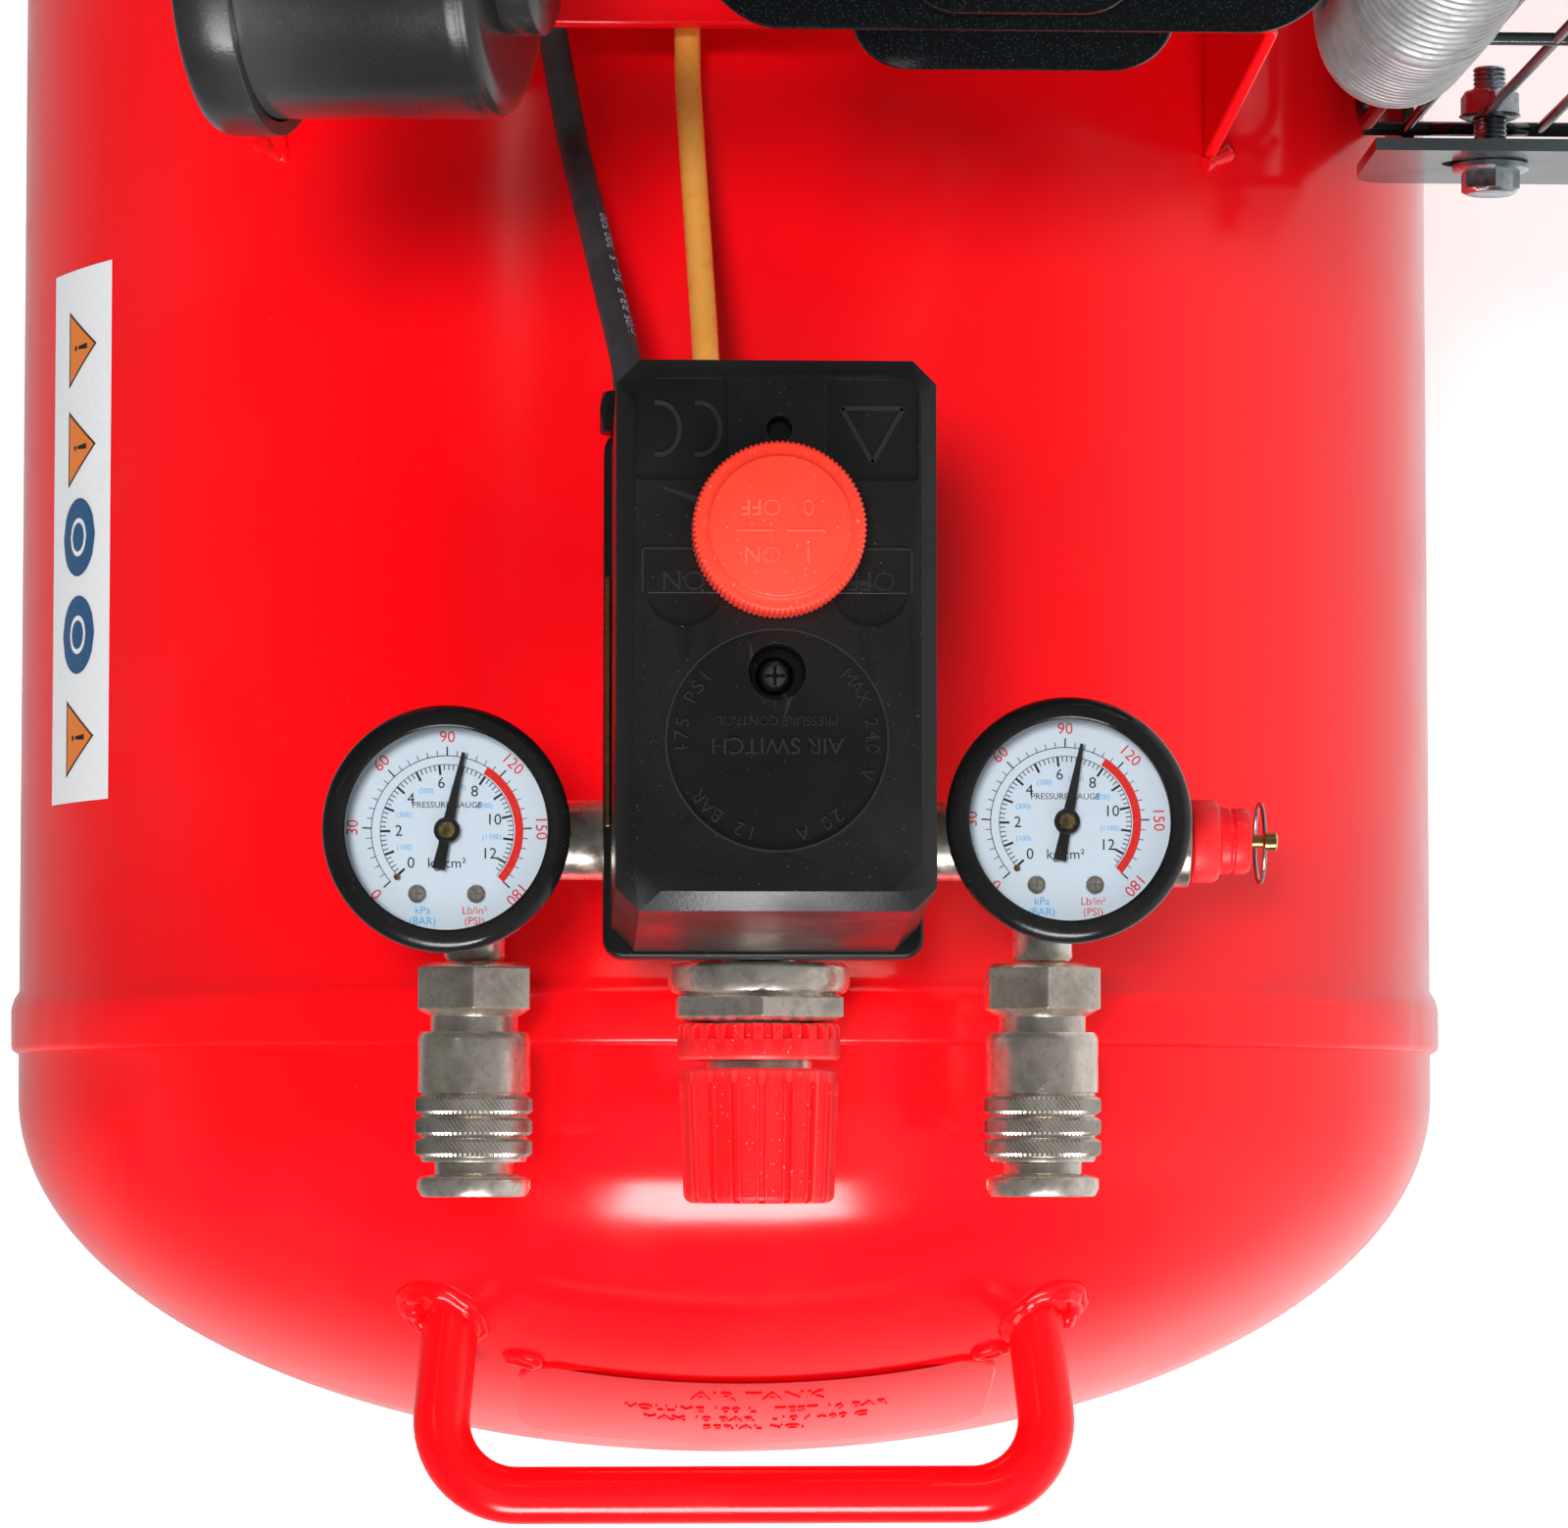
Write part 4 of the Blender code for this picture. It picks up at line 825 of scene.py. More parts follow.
def side_patch(points, up_centre, y, lift):
    """Convex outline, (across, up) pairs, laid on the tank in rows so that it follows the curve."""
    rows = 16
    degree = math.radians(1) * TANK_R
    ups = [point[1] for point in points]
    grid = []
    for k in range(rows + 1):
        level = min(ups) + (max(ups) - min(ups)) * (0.002 + 0.996 * k / rows)
        crossings = []
        for (a0, u0), (a1, u1) in zip(points, points[1:] + points[:1]):
            if u0 != u1 and (u0 - level) * (u1 - level) <= 0:
                crossings.append(a0 + (a1 - a0) * (level - u0) / (u1 - u0))
        angle = up_centre - level / degree
        grid.append([on_side(angle, y + end(crossings), lift) for end in (min, max)])
    return skin(grid, caps=False, loop=False)


def warning_strip():
    """White strip with orange triangles and blue discs on the tank's left side."""
    near_top, far, front, back = 57.0, 68.0, 0.0545, 0.1880
    steps = 12
    angles = [near_top + (far - near_top) * k / steps for k in range(steps + 1)]
    edges = [[on_side(angle, y, 0.00015) for angle in angles] for y in (front, back)]
    build("label_strip", *skin(edges, caps=False, loop=False), "label_white", sharp=80)
    marks = {look: Parts() for look in ("label_orange", "label_blue", "ink_black", "label_white")}
    centre = (near_top + far) / 2

    def flat(points, y, lift):
        return side_patch(points, centre, y, lift)

    def triangle(size):
        return [(size * math.sin(t), size * math.cos(t) - size * 0.12) for t in (0, 2.0944, 4.1888)]

    def disc(radius, up=0.0):
        return [(radius * math.cos(t), up + radius * math.sin(t)) for t in around(40)]
    for y in (0.0705, 0.1431, 0.1682):
        marks["ink_black"].add(*flat(triangle(0.0112), y, 0.00020))
        marks["label_orange"].add(*flat(triangle(0.0099), y, 0.00024))
        bar = [(-0.0007, 0.0045), (0.0007, 0.0045), (0.0004, -0.0008), (-0.0004, -0.0008)]
        marks["ink_black"].add(*flat(bar, y, 0.00028))
        marks["ink_black"].add(*flat(disc(0.0007, -0.0024), y, 0.00028))
    for y in (0.0962, 0.1206):
        marks["label_blue"].add(*flat(disc(0.0098), y, 0.00020))
        marks["label_white"].add(*flat(disc(0.0048), y, 0.00024))
        marks["label_blue"].add(*flat(disc(0.0036), y, 0.00028))
    for look, parts in marks.items():
        parts.build("label_marks_" + look, look)


def saddle_plate():
    """Folded platform with two flared legs and lumps of weld at the leg ends."""
    low, high = near("saddle")
    plate = WALL
    flare = 0.019
    half = high.x
    foot = 0.113
    outer = math.sqrt(TANK_R ** 2 - foot ** 2)
    inner = math.sqrt(TANK_R ** 2 - (foot - plate) ** 2)
    bend = 0.004
    section = [(-half + plate, high.z - plate), (-foot + plate, inner), (-foot, outer),
               (-half, high.z - bend), (-half + bend * 0.3, high.z - bend * 0.3),
               (-half + bend, high.z)]
    section += [(-x, z) for x, z in reversed(section)]
    rings = []
    for y, outward in ((low.y + flare, -1), (high.y - flare, 1)):
        slope = outward * flare / (high.z - outer)
        rings.append([Vector((x, y + slope * (high.z - z), z)) for x, z in section])
    build("saddle_plate", *skin(rings), "red_paint", stands_for=["saddle"], bevel=0.0008)
    welds = Parts()
    for side in (-1, 1):
        for seed, (y, slant) in enumerate(((low.y + 0.001, 0.004), (high.y - 0.001, -0.005))):
            path = []
            for k in range(10):
                t = k / 9
                x = side * (foot - 0.003 + 0.007 * t)
                z = math.sqrt(TANK_R ** 2 - x * x)
                path.append(Vector((x, y + slant * (t - 0.5), z)))
            weld_bead(welds, path, 0.0024, seed + side * 3)
        run = [Vector((side * foot, low.y + 0.03 + 0.02 * k, outer + 0.0002)) for k in range(22)]
        weld_bead(welds, resample(run, 0.003), 0.0020, side * 7)
    welds.build("saddle_welds", "red_paint", sharp=80)


tank_skin()
tank_dome("tank_dome_front", "tank_head_front", 0, (0, -1, 0))
tank_dome("tank_dome_rear", "tank_head_rear", TANK_END, (0, 1, 0))
handle()
nameplate()
warning_strip()
saddle_plate()

# ---- Pressure switch -------------------------------------------------------------------------

BADGE_RAISE = 0.00028


def cover_ring(grow, low_y, high_y, corner, z, half):
    """Rectangle with cut corners at height z."""
    side = half + grow
    inner = side - corner
    points = (
        (side, low_y + corner), (side, high_y - corner), (inner, high_y), (-inner, high_y),
        (-side, high_y - corner), (-side, low_y + corner), (-inner, low_y), (inner, low_y),
    )
    return [Vector((x, y, z)) for x, y in points]


def disc_shape(x, y, radius, low, high, segments=64):
    """Upright cylinder."""
    verts, faces = solid(((0, low), (radius, low), (radius, high), (0, high)), segments)
    return [v + Vector((x, y, 0)) for v in verts], faces


def tab_outline(x, y, half, height):
    """Half-round tab under a straight top edge."""
    turns = [math.pi + math.pi * k / 14 for k in range(15)]
    return [Vector((x + half * math.cos(t), y + height * math.sin(t), 0)) for t in turns]


def prism(outline, low, high):
    """Upright prism over an outline."""
    return skin([[Vector((p.x, p.y, z)) for p in outline] for z in (low, high)])


def switch_cover():
    """Moulded cover with its sunk panels, tabs, round badge and screw well."""
    low, high = near("switch_cover")
    half = high.x
    knob = middle("switch_knob")
    screw = middle("cover_screw")
    badge_y, badge_r = screw.y - 0.0144, 0.0232
    front = low.y + 0.007
    rings = (
        cover_ring(-0.0025, low.y + 0.0030, high.y - 0.0110, 0.004, low.z, half),
        cover_ring(0, low.y, high.y - 0.0075, 0.005, low.z, half),
        cover_ring(0, front - 0.0005, high.y, 0.005, high.z - 0.0035, half),
        cover_ring(-0.0035, front + 0.0035, high.y - 0.0035, 0.006, high.z, half),
    )
    cover = build("switch_shell", *skin(rings), "black_plastic", stands_for=["switch_cover"],
                  bevel=0.0005)
    top = high.z
    deep = top + 0.001
    sunk = top - 0.0007
    cut(cover, *disc_shape(0, badge_y, badge_r, sunk, deep, 96))
    for side in (-1, 1):
        outline = rounded_rect(0.0095, high.y - 0.0258, high.y - 0.0045, 0.0008, 0, 3)
        panel = [p + Vector((side * 0.0200, 0, 0)) for p in outline]
        cut(cover, *prism(panel, sunk, deep))
        tab = tab_outline(side * 0.0195, knob.y - 0.0125, 0.0078, 0.0070)
        cut(cover, *prism(tab, top - 0.0006, deep))
    cut(cover, *disc_shape(0, screw.y, 0.0060, top - 0.0130, deep))
    cut(cover, *disc_shape(0, knob.y, 0.0080, top - 0.0060, deep))
    panel_y = high.y - 0.0150
    cut(cover, *disc_shape(0.0004, panel_y, 0.0027, top - 0.0080, deep, 32))
    marks = Parts()
    under, over = 0.0001, 0.00025
    for side, text in ((-1, "ON"), (1, "OFF")):
        tab_x = side * 0.0197
        marks.add(*lettering(text, 0.0058, 0.00022), shifted(tab_x, knob.y - 0.0098, top, 180))
        outline = rounded_rect(0.0085, 0, 0.0005, 0.0002, 0, 2)
        line = [p + Vector((tab_x, knob.y - 0.0035, 0)) for p in outline]
        marks.add(*prism(line, top - under, top + over))
        for end in (-1, 1):
            x = tab_x + end * 0.0085
            low_corner = (x - over, knob.y - 0.0125, top - under)
            marks.add(*box_shape(low_corner, (x + over, knob.y - 0.0035, top + over)))
    for text, size, y in (("AIR SWITCH", 0.0050, badge_y - 0.0010),
                          ("PRESSURE CONTROL", 0.0027, badge_y + 0.0042)):
        marks.add(*lettering(text, size, BADGE_RAISE), shifted(0, y, sunk, 180))
    text = "MAX 240 V   20 A   12 BAR   175 PSI"
    ring_text(marks, text, 0, badge_y, badge_r - 0.0032, 0.0041, sunk)
    triangle = [Vector((-0.0065, 0.0045, 0)), Vector((0.0065, 0.0045, 0)), Vector((0, -0.0070, 0))]
    spot = Vector((0.0200, panel_y, 0))
    for a, b in zip(triangle, triangle[1:] + triangle[:1]):
        out = (b - a).normalized().cross(UP) * 0.0005
        stroke = [p + spot for p in (a - out, b - out, b + out, a + out)]
        marks.add(*prism(stroke, sunk - under, sunk + 0.0003))
    turns = [math.radians(-100 + 200 * k / 16) for k in range(17)]

    def bow(x, across, up):
        return [Vector((x + across * math.cos(t), panel_y + up * math.sin(t), 0)) for t in turns]
    for x in (-0.0250, -0.0165):
        crescent = bow(x, 0.0050, 0.0060) + bow(x, 0.0040, 0.0050)[::-1]
        marks.add(*prism(crescent, sunk - under, sunk + 0.0003))
    marks.build("switch_marks", "black_plastic", sharp=30)
    lip = ((badge_r + 0.0003, top - 0.0002), (badge_r + 0.0003, top + 0.00015),
           (badge_r - 0.0002, top + 0.00015), (badge_r - 0.0002, top - 0.0002))
    verts, faces = solid(lip, 96)
    build("switch_badge_lip", [v + Vector((0, badge_y, 0)) for v in verts], faces, "black_plastic")


def ring_text(parts, text, x, y, radius, size, z):
    """Letters set round the lower part of a circle, with their feet towards its centre."""
    pitch = math.degrees(size * 0.66 / radius)
    start = 180 + pitch * (len(text) - 1) / 2
    for i, letter in enumerate(text):
        if letter == " ":
            continue
        turn = start - i * pitch
        a = math.radians(turn + 90)
        at = shifted(x + radius * math.cos(a), y + radius * math.sin(a), z, turn)
        parts.add(*lettering(letter, size, BADGE_RAISE), at)


def switch_base():
    """Tray under the cover, with the brass edge that shows at its left."""
    low, high = near("switch_base")
    tray_top = near("switch_cover")[0].z - GAP
    half = high.x
    rings = [
        rounded_rect(half - 0.0012, low.y + 0.0012, high.y - 0.0012, 0.0036, low.z),
        rounded_rect(half, low.y, high.y, 0.0045, low.z + 0.0012),
        rounded_rect(half, low.y, high.y, 0.0045, tray_top - 0.0008),
        rounded_rect(half - 0.0008, low.y + 0.0008, high.y - 0.0008, 0.0040, tray_top),
        rounded_rect(half - 0.010, low.y + 0.02, high.y - 0.042, 0.0040, tray_top),
        rounded_rect(half - 0.0134, low.y + 0.02, high.y - 0.042, 0.0030, 0.300),
    ]
    build("switch_tray", *skin(rings), "black_plastic", stands_for=["switch_base"], bevel=0.0003)
    x = -near("switch_cover")[1].x
    strip = box_shape((x - 0.0013, low.y + 0.029, tray_top),
                      (x - GAP, low.y + 0.084, tray_top + 0.0030))
    build("switch_brass_edge", *strip, "brass", bevel=0.0002)
    for name, node, look, grip, bore in (
            ("cable_gland", "motor_cable", "black_plastic", 0.0068, 0.0042),
            ("tube_nut", "unloader_tube", "brass", 0.0052, 0.0031)):
        sections = [(bore, GAP), (grip, GAP), (grip, 0.0060, "hex"), (grip - 0.0006, 0.0095),
                    (bore, 0.0095)]
        at = (nearest_end(node), high.y, 0.2383)
        turned(name, sections, look, at, (0, 1, 0), 48, bevel=0.0003)


def nearest_end(node):
    """Side position of the vertices of a tube that lie nearest to the switch."""
    verts = NODES[node].data.vertices
    front = min(v.co.y for v in verts)
    ends = [v.co.x for v in verts if v.co.y < front + 0.0005]
    return sum(ends) / len(ends) - AXIS.x


def switch_knob():
    """Orange-red knob with a fine toothed rim and a raised disc with its marks."""
    low, high = near("switch_knob")
    r = high.x
    base = near("switch_cover")[1].z + GAP
    centre = middle("switch_knob")
    teeth = 100
    body = [(0, low.z), (0.0070, low.z), (0.0075, low.z + 0.001), (0.0075, base), (r - 0.0010, base),
            (r - 0.0002, base + 0.0008), (r, base + 0.0016), (r, high.z - 0.0032)]
    body += arc(r - 0.0016, high.z - 0.0028, 0.0016, 10, 88, 5)
    body += [(0.0152, high.z - 0.0012), (0.0149, high.z - 0.0009), (0.0147, high.z - 0.0002)]
    body += [(0.0143, high.z), (0, high.z)]

    def toothed(angle, radius, z):
        if radius < r - 0.0004:
            return radius
        share = (angle * teeth / (2 * math.pi)) % 1
        return radius - 0.00042 * abs(2 * share - 1) ** 1.5
    turned("switch_button", body, "knob_orange", (0, centre.y, 0), segments=teeth * 4,
           radial=toothed, body="switch_knob", stands_for=["switch_knob"], sharp=50)
    marks = Parts()
    words = (("ON", 0.0038, 0.0058), ("1", -0.0058, 0.0058), ("OFF", 0.0040, -0.0040),
             ("0", -0.0058, -0.0040))
    for text, x, y in words:
        marks.add(*lettering(text, 0.0048, 0.00018), shifted(-x, centre.y - y, high.z, 180))
    for x in (-0.0052, 0.0052):
        corner = (x - 0.0040, centre.y - 0.0012, high.z - 0.0001)
        marks.add(*box_shape(corner, (x + 0.0040, centre.y - 0.0008, high.z + 0.0002)))
    marks.build("switch_button_marks", "knob_orange", body="switch_knob", sharp=30)


def screw_head(parts, x, y, z, radius):
    """Add a domed head with a cross-shaped recess."""
    rings = []

    def ring(share, drop, recess=False):
        points = []
        for t in around(32):
            cross = 0.34 if recess and abs(math.cos(2 * t)) <= 0.80 else 1.0
            r = radius * share * cross
            points.append(Vector((x + r * math.cos(t), y + r * math.sin(t), z - radius * drop)))
        rings.append(points)
    for share, drop in ((1.0, 0.55), (1.0, 0.35), (0.92, 0.18), (0.75, 0.07), (0.52, 0.0)):
        ring(share, drop)
    ring(0.50, 0.0, True)
    ring(0.46, 0.45, True)
    rings.append([Vector((x, y, z - radius * 0.5))])
    parts.add(*skin(rings))


def cover_screw():
    """Screw deep in the cover's well."""
    low, high = near("cover_screw")
    centre = middle("cover_screw")
    parts = Parts()
    screw_head(parts, centre.x, centre.y, high.z, high.x)
    parts.add(*disc_shape(centre.x, centre.y, 0.0015, low.z, high.z - 0.0024, 24))
    parts.build("switch_screw", "zinc", stands_for=["cover_screw"])


# ---- Gauges ----------------------------------------------------------------------------------

SWEEP = 132
FULL_PSI = 180
PSI_PER_KG = 14.223


def dial_angle(psi):
    """Angle clockwise from the dial's top, in degrees."""
    return -SWEEP + 2 * SWEEP * psi / FULL_PSI


def dial_point(angle, radius, z=0.0):
    """Point at a clockwise angle from the dial's top."""
    t = math.radians(90 - angle)
    return Vector((radius * math.cos(t), radius * math.sin(t), z))


def dial_band(parts, start, end, inner, outer, z):
    """Add a flat arc between two dial angles."""
    steps = 72
    verts = []
    for k in range(steps + 1):
        angle = start + (end - start) * k / steps
        verts += [dial_point(angle, inner, z), dial_point(angle, outer, z)]
    faces = [(2 * k, 2 * k + 1, 2 * k + 3, 2 * k + 2) for k in range(steps)]
    parts.add(verts, faces)


def dial_tick(parts, angle, inner, outer, width, z):
    """Add a radial stroke."""
    side = dial_point(angle + 90, width / 2)
    ends = (dial_point(angle, inner, z), dial_point(angle, outer, z))
    parts.add([ends[0] - side, ends[1] - side, ends[1] + side, ends[0] + side], [(0, 1, 2, 3)])


def dial_marks(side, at, z):
    """Both pressure scales, their numbers, the red zone and the small print."""
    black, red, blue = Parts(), Parts(), Parts()
    dial_band(black, -SWEEP, SWEEP, 0.01622, 0.01640, z)
    dial_band(black, -SWEEP, SWEEP, 0.01432, 0.01446, z)
    for k in range(37):
        reach, width = (0.0183, 0.00032) if k % 6 == 0 else (0.0175, 0.00018)
        dial_tick(black, dial_angle(k * 5), 0.0163, reach, width, z)
    for k in range(63):
        start, width = (0.0122, 0.00050) if k % 5 == 0 else (0.0132, 0.00022)
        dial_tick(black, dial_angle(k * 0.2 * PSI_PER_KG), start, 0.0144, width, z)
    dial_band(red, dial_angle(112), SWEEP, 0.0147, 0.0165, z + 0.00003)
    for k in range(7):
        angle = dial_angle(k * 30)
        point = dial_point(angle, 0.0203)
        red.add(*lettering(str(k * 30), 0.0035), shifted(point.x, point.y, z, -angle))
    for k in range(7):
        point = dial_point(dial_angle(k * 2 * PSI_PER_KG), 0.0104)
        black.add(*lettering(str(k * 2), 0.0034), shifted(point.x, point.y, z))
    for k in range(1, 12, 2):
        point = dial_point(dial_angle(k * PSI_PER_KG), 0.0098)
        blue.add(*lettering("(%d00)" % k, 0.0016), shifted(point.x, point.y, z))
    black.add(*lettering("PRESSURE GAUGE", 0.0019), shifted(0, 0.0056, z))
    black.add(*lettering("kg/cm²", 0.0031), shifted(0, -0.0070, z))
    for parts, x, words in ((blue, -0.0052, ("kPa", "(BAR)")), (red, 0.0060, ("Lb/in²", "(PSI)"))):
        for i, word in enumerate(words):
            parts.add(*lettering(word, 0.0024), shifted(x, -0.0172 - 0.0023 * i, z))
    for tag, parts in (("black", black), ("red", red), ("blue", blue)):
        parts.build("dial_%s_%s" % (tag, side), "ink_" + tag, at=at)


def gauge(side):
    """One pressure gauge: bezel, dial, marks, screws, stop pin, pointer and window."""
    low, high = near("gauge_case_" + side)
    centre = middle("gauge_case_" + side)
    at = (centre.x, centre.y, 0)
    r = high.x - centre.x
    top = high.z
    case = [(0, low.z), (0.0055, low.z), (0.0055, top - 0.036), (0.0070, top - 0.036, "hex"),
            (0.0070, top - 0.026, "hex"), (r - 0.003, top - 0.0252), (r - 0.0019, top - 0.0240),
            (r - 0.0019, top - 0.0080), (r - 0.0004, top - 0.0070)]
    case += arc(r - 0.0034, top - 0.0034, 0.0034, -20, 95, 12)
    case += arc(0.0226, top - 0.0009, 0.0009, 90, 180, 4)
    case += [(0.0219, top - 0.0017), (0.0232, top - 0.0017), (0.0232, 0.2690), (0, 0.2690)]
    turned("gauge_bezel_" + side, case, "gauge_black", at, segments=128,
           stands_for=["gauge_case_" + side], sharp=30)
    face = near("gauge_dial_" + side)[1].z
    dial = [(0.0013, face - 0.0008), (0.0229, face - 0.0008), (0.0229, face), (0.0013, face)]
    turned("gauge_face_" + side, dial, "dial_white", at, segments=96,
           stands_for=["gauge_dial_" + side])
    dial_marks(side, at, face + 0.00006)
    glass = near("gauge_lens_" + side)
    window = [(0, glass[0].z), (0.0229, glass[0].z), (0.0229, glass[1].z), (0, glass[1].z)]
    turned("gauge_window_" + side, window, "clear_lens", at, segments=96,
           stands_for=["gauge_lens_" + side])
    fixings = Parts()
    for x in (-0.00635, 0.00635):
        screw_head(fixings, x, -0.0136, face + 0.0012, 0.0021)
    fixings.build("gauge_screws_" + side, "nickel", at=at)
    pin = ((0, face), (0.0007, face), (0.0007, face + 0.0018), (0, face + 0.0022))
    verts, faces = solid(pin, 20)
    stop = Parts()
    stop.add(verts, faces, shifted(-0.0107, -0.0100, 0))
    stop.build("gauge_stop_" + side, "brass", at=at)
    pointer(side, at, face)


def pointer(side, at, face):
    """Pointer with a slim tapered blade, a round hub and a brass spindle cap."""
    verts = NODES["gauge_needle_" + side].data.vertices
    tip = max((v.co.xy - (AXIS + Vector(at)).xy for v in verts), key=lambda d: d.length)
    turn = math.degrees(math.atan2(tip.y, tip.x)) - 90
    blade = [Vector((-0.00035, 0.0172, 0)), Vector((-0.0012, 0.0020, 0))]
    hub = [Vector((0.0028 * math.cos(t), 0.0028 * math.sin(t), 0))
           for t in (math.radians(115 + 130 * k / 12) for k in range(13))]
    tail = [Vector((-0.0011, -0.0030, 0)), Vector((-0.0014, -0.0086, 0))]
    left = blade + hub + tail
    outline = left + [Vector((-p.x, p.y, 0)) for p in reversed(left)]
    parts = Parts()
    parts.add(*prism(outline, face + 0.0034, face + 0.0040), shifted(0, 0, 0, turn))
    parts.build("pointer_" + side, "gauge_black", at=at, body="needle_" + side,
                stands_for=["gauge_needle_" + side], bevel=0.00012)
    cap = [(0, face + 0.0002), (0.0009, face + 0.0002), (0.0009, face + 0.0040), (0.0019, face + 0.0041),
           (0.0017, face + 0.0052), (0.0009, face + 0.0055), (0, face + 0.0056)]
    turned("pointer_cap_" + side, cap, "brass", at, segments=32, body="needle_" + side)


# ---- Air outlet ------------------------------------------------------------------------------

def coupler(side):
    """Quick coupler with its chamfered hexagon and knurled sliding sleeve."""
    node = "coupler_body_" + side
    low, high = near(node)
    centre = middle(node)
    at = (centre.x, high.y, centre.z)
    length = high.y - low.y
    body = [(0, 0), (0.0110, 0.0002), (0.0125, 0.0014, "hex"), (0.0125, 0.0106, "hex"), (0.0108, 0.0118),
            (0.0098, 0.0122), (0.0098, 0.0440), (0.0088, 0.0450), (0.0088, 0.0476)]
    body += [(0.0120, 0.0480), (0.0127, 0.0486), (0.0127, 0.0508), (0.0117, length), (0.0065, length),
             (0.0057, length - 0.0018), (0.0055, 0.026), (0, 0.025)]
    turned("coupling_" + side, body, "nickel", at, PIPE_DIRECTION, 96, stands_for=[node],
           bevel=0.0003)
    node = "coupler_sleeve_" + side
    sleeve_low, sleeve_high = near(node)
    start = high.y - sleeve_high.y
    end = high.y - sleeve_low.y
    r = 0.0127
    sections = [(0.0101, start), (0.0119, start), (0.0124, start + 0.0008), (0.0126, start + 0.0018),
                (0.0126, start + 0.0134), (0.0119, start + 0.0137), (0.0119, start + 0.0142)]
    bands = 3
    first = start + 0.0144
    pitch = (end - 0.0004 - first) / bands
    rows = 5
    raised = []
    for band in range(bands):
        begin = first + band * pitch
        finish = begin + pitch - 0.0008
        raised.append((begin, finish))
        sections += [(r - 0.0004, begin)]
        sections += [(r, begin + (finish - begin) * (k + 1) / (rows + 1)) for k in range(rows)]
        sections += [(r - 0.0004, finish), (0.0119, finish + 0.0002), (0.0119, finish + 0.0005)]
    sections += [(0.0116, end), (0.0101, end)]
    columns = 72

    def knurled(angle, radius, height):
        for begin, finish in raised:
            if begin < height < finish and radius > r - 0.0001:
                row = round((height - begin) / (finish - begin) * (rows + 1))
                column = round(angle / (2 * math.pi) * columns * 2)
                return radius + (0.00045 if (row + column) % 2 else -0.00025)
        return radius
    turned("sleeve_grip_" + side, sections, "nickel", at, PIPE_DIRECTION, columns * 2,
           radial=knurled, body="sleeve_" + side, stands_for=[node], sharp=28)


def manifold():
    """Cross pipe with its bosses and threads."""
    low, high = near("manifold")
    y = near("coupler_body_left")[1].y + 0.0275
    z = middle("coupler_body_left").z
    pipe = [(0, low.x), (0.0100, low.x), (0.0115, low.x + 0.0015), (0.0115, -0.054), (0.0092, -0.0525),
            (0.0090, -0.052), (0.0090, 0.049), (0.0092, 0.0495), (0.0115, 0.051), (0.0115, 0.078),
            (0.0105, 0.080), (0.0105, high.x), (0, high.x)]
    turned("cross_pipe", pipe, "nickel", (0, y, z), (1, 0, 0), 64, stands_for=["manifold"],
           bevel=0.0004)
    parts = Parts()

    def boss(x, y0, direction, radius, reach):
        sections = ((0, 0.001), (radius, 0.001), (radius, reach - 0.0008), (radius - 0.0006, reach),
                    (0, reach))
        parts.add(*solid(sections, 40), spot_at(Vector((x, y0, z)), direction))
    boss(0, y, (0, 0, -1), 0.0085, z - 0.1800)
    for side in ("left", "right"):
        coupling = middle("coupler_body_" + side)
        stem = middle("gauge_case_" + side)
        boss(coupling.x, y, PIPE_DIRECTION, 0.0068, 0.0272)
        boss(stem.x, y, (0, 0, 1), 0.0078, near("gauge_case_" + side)[0].z - z - GAP)
    parts.build("cross_pipe_bosses", "nickel")


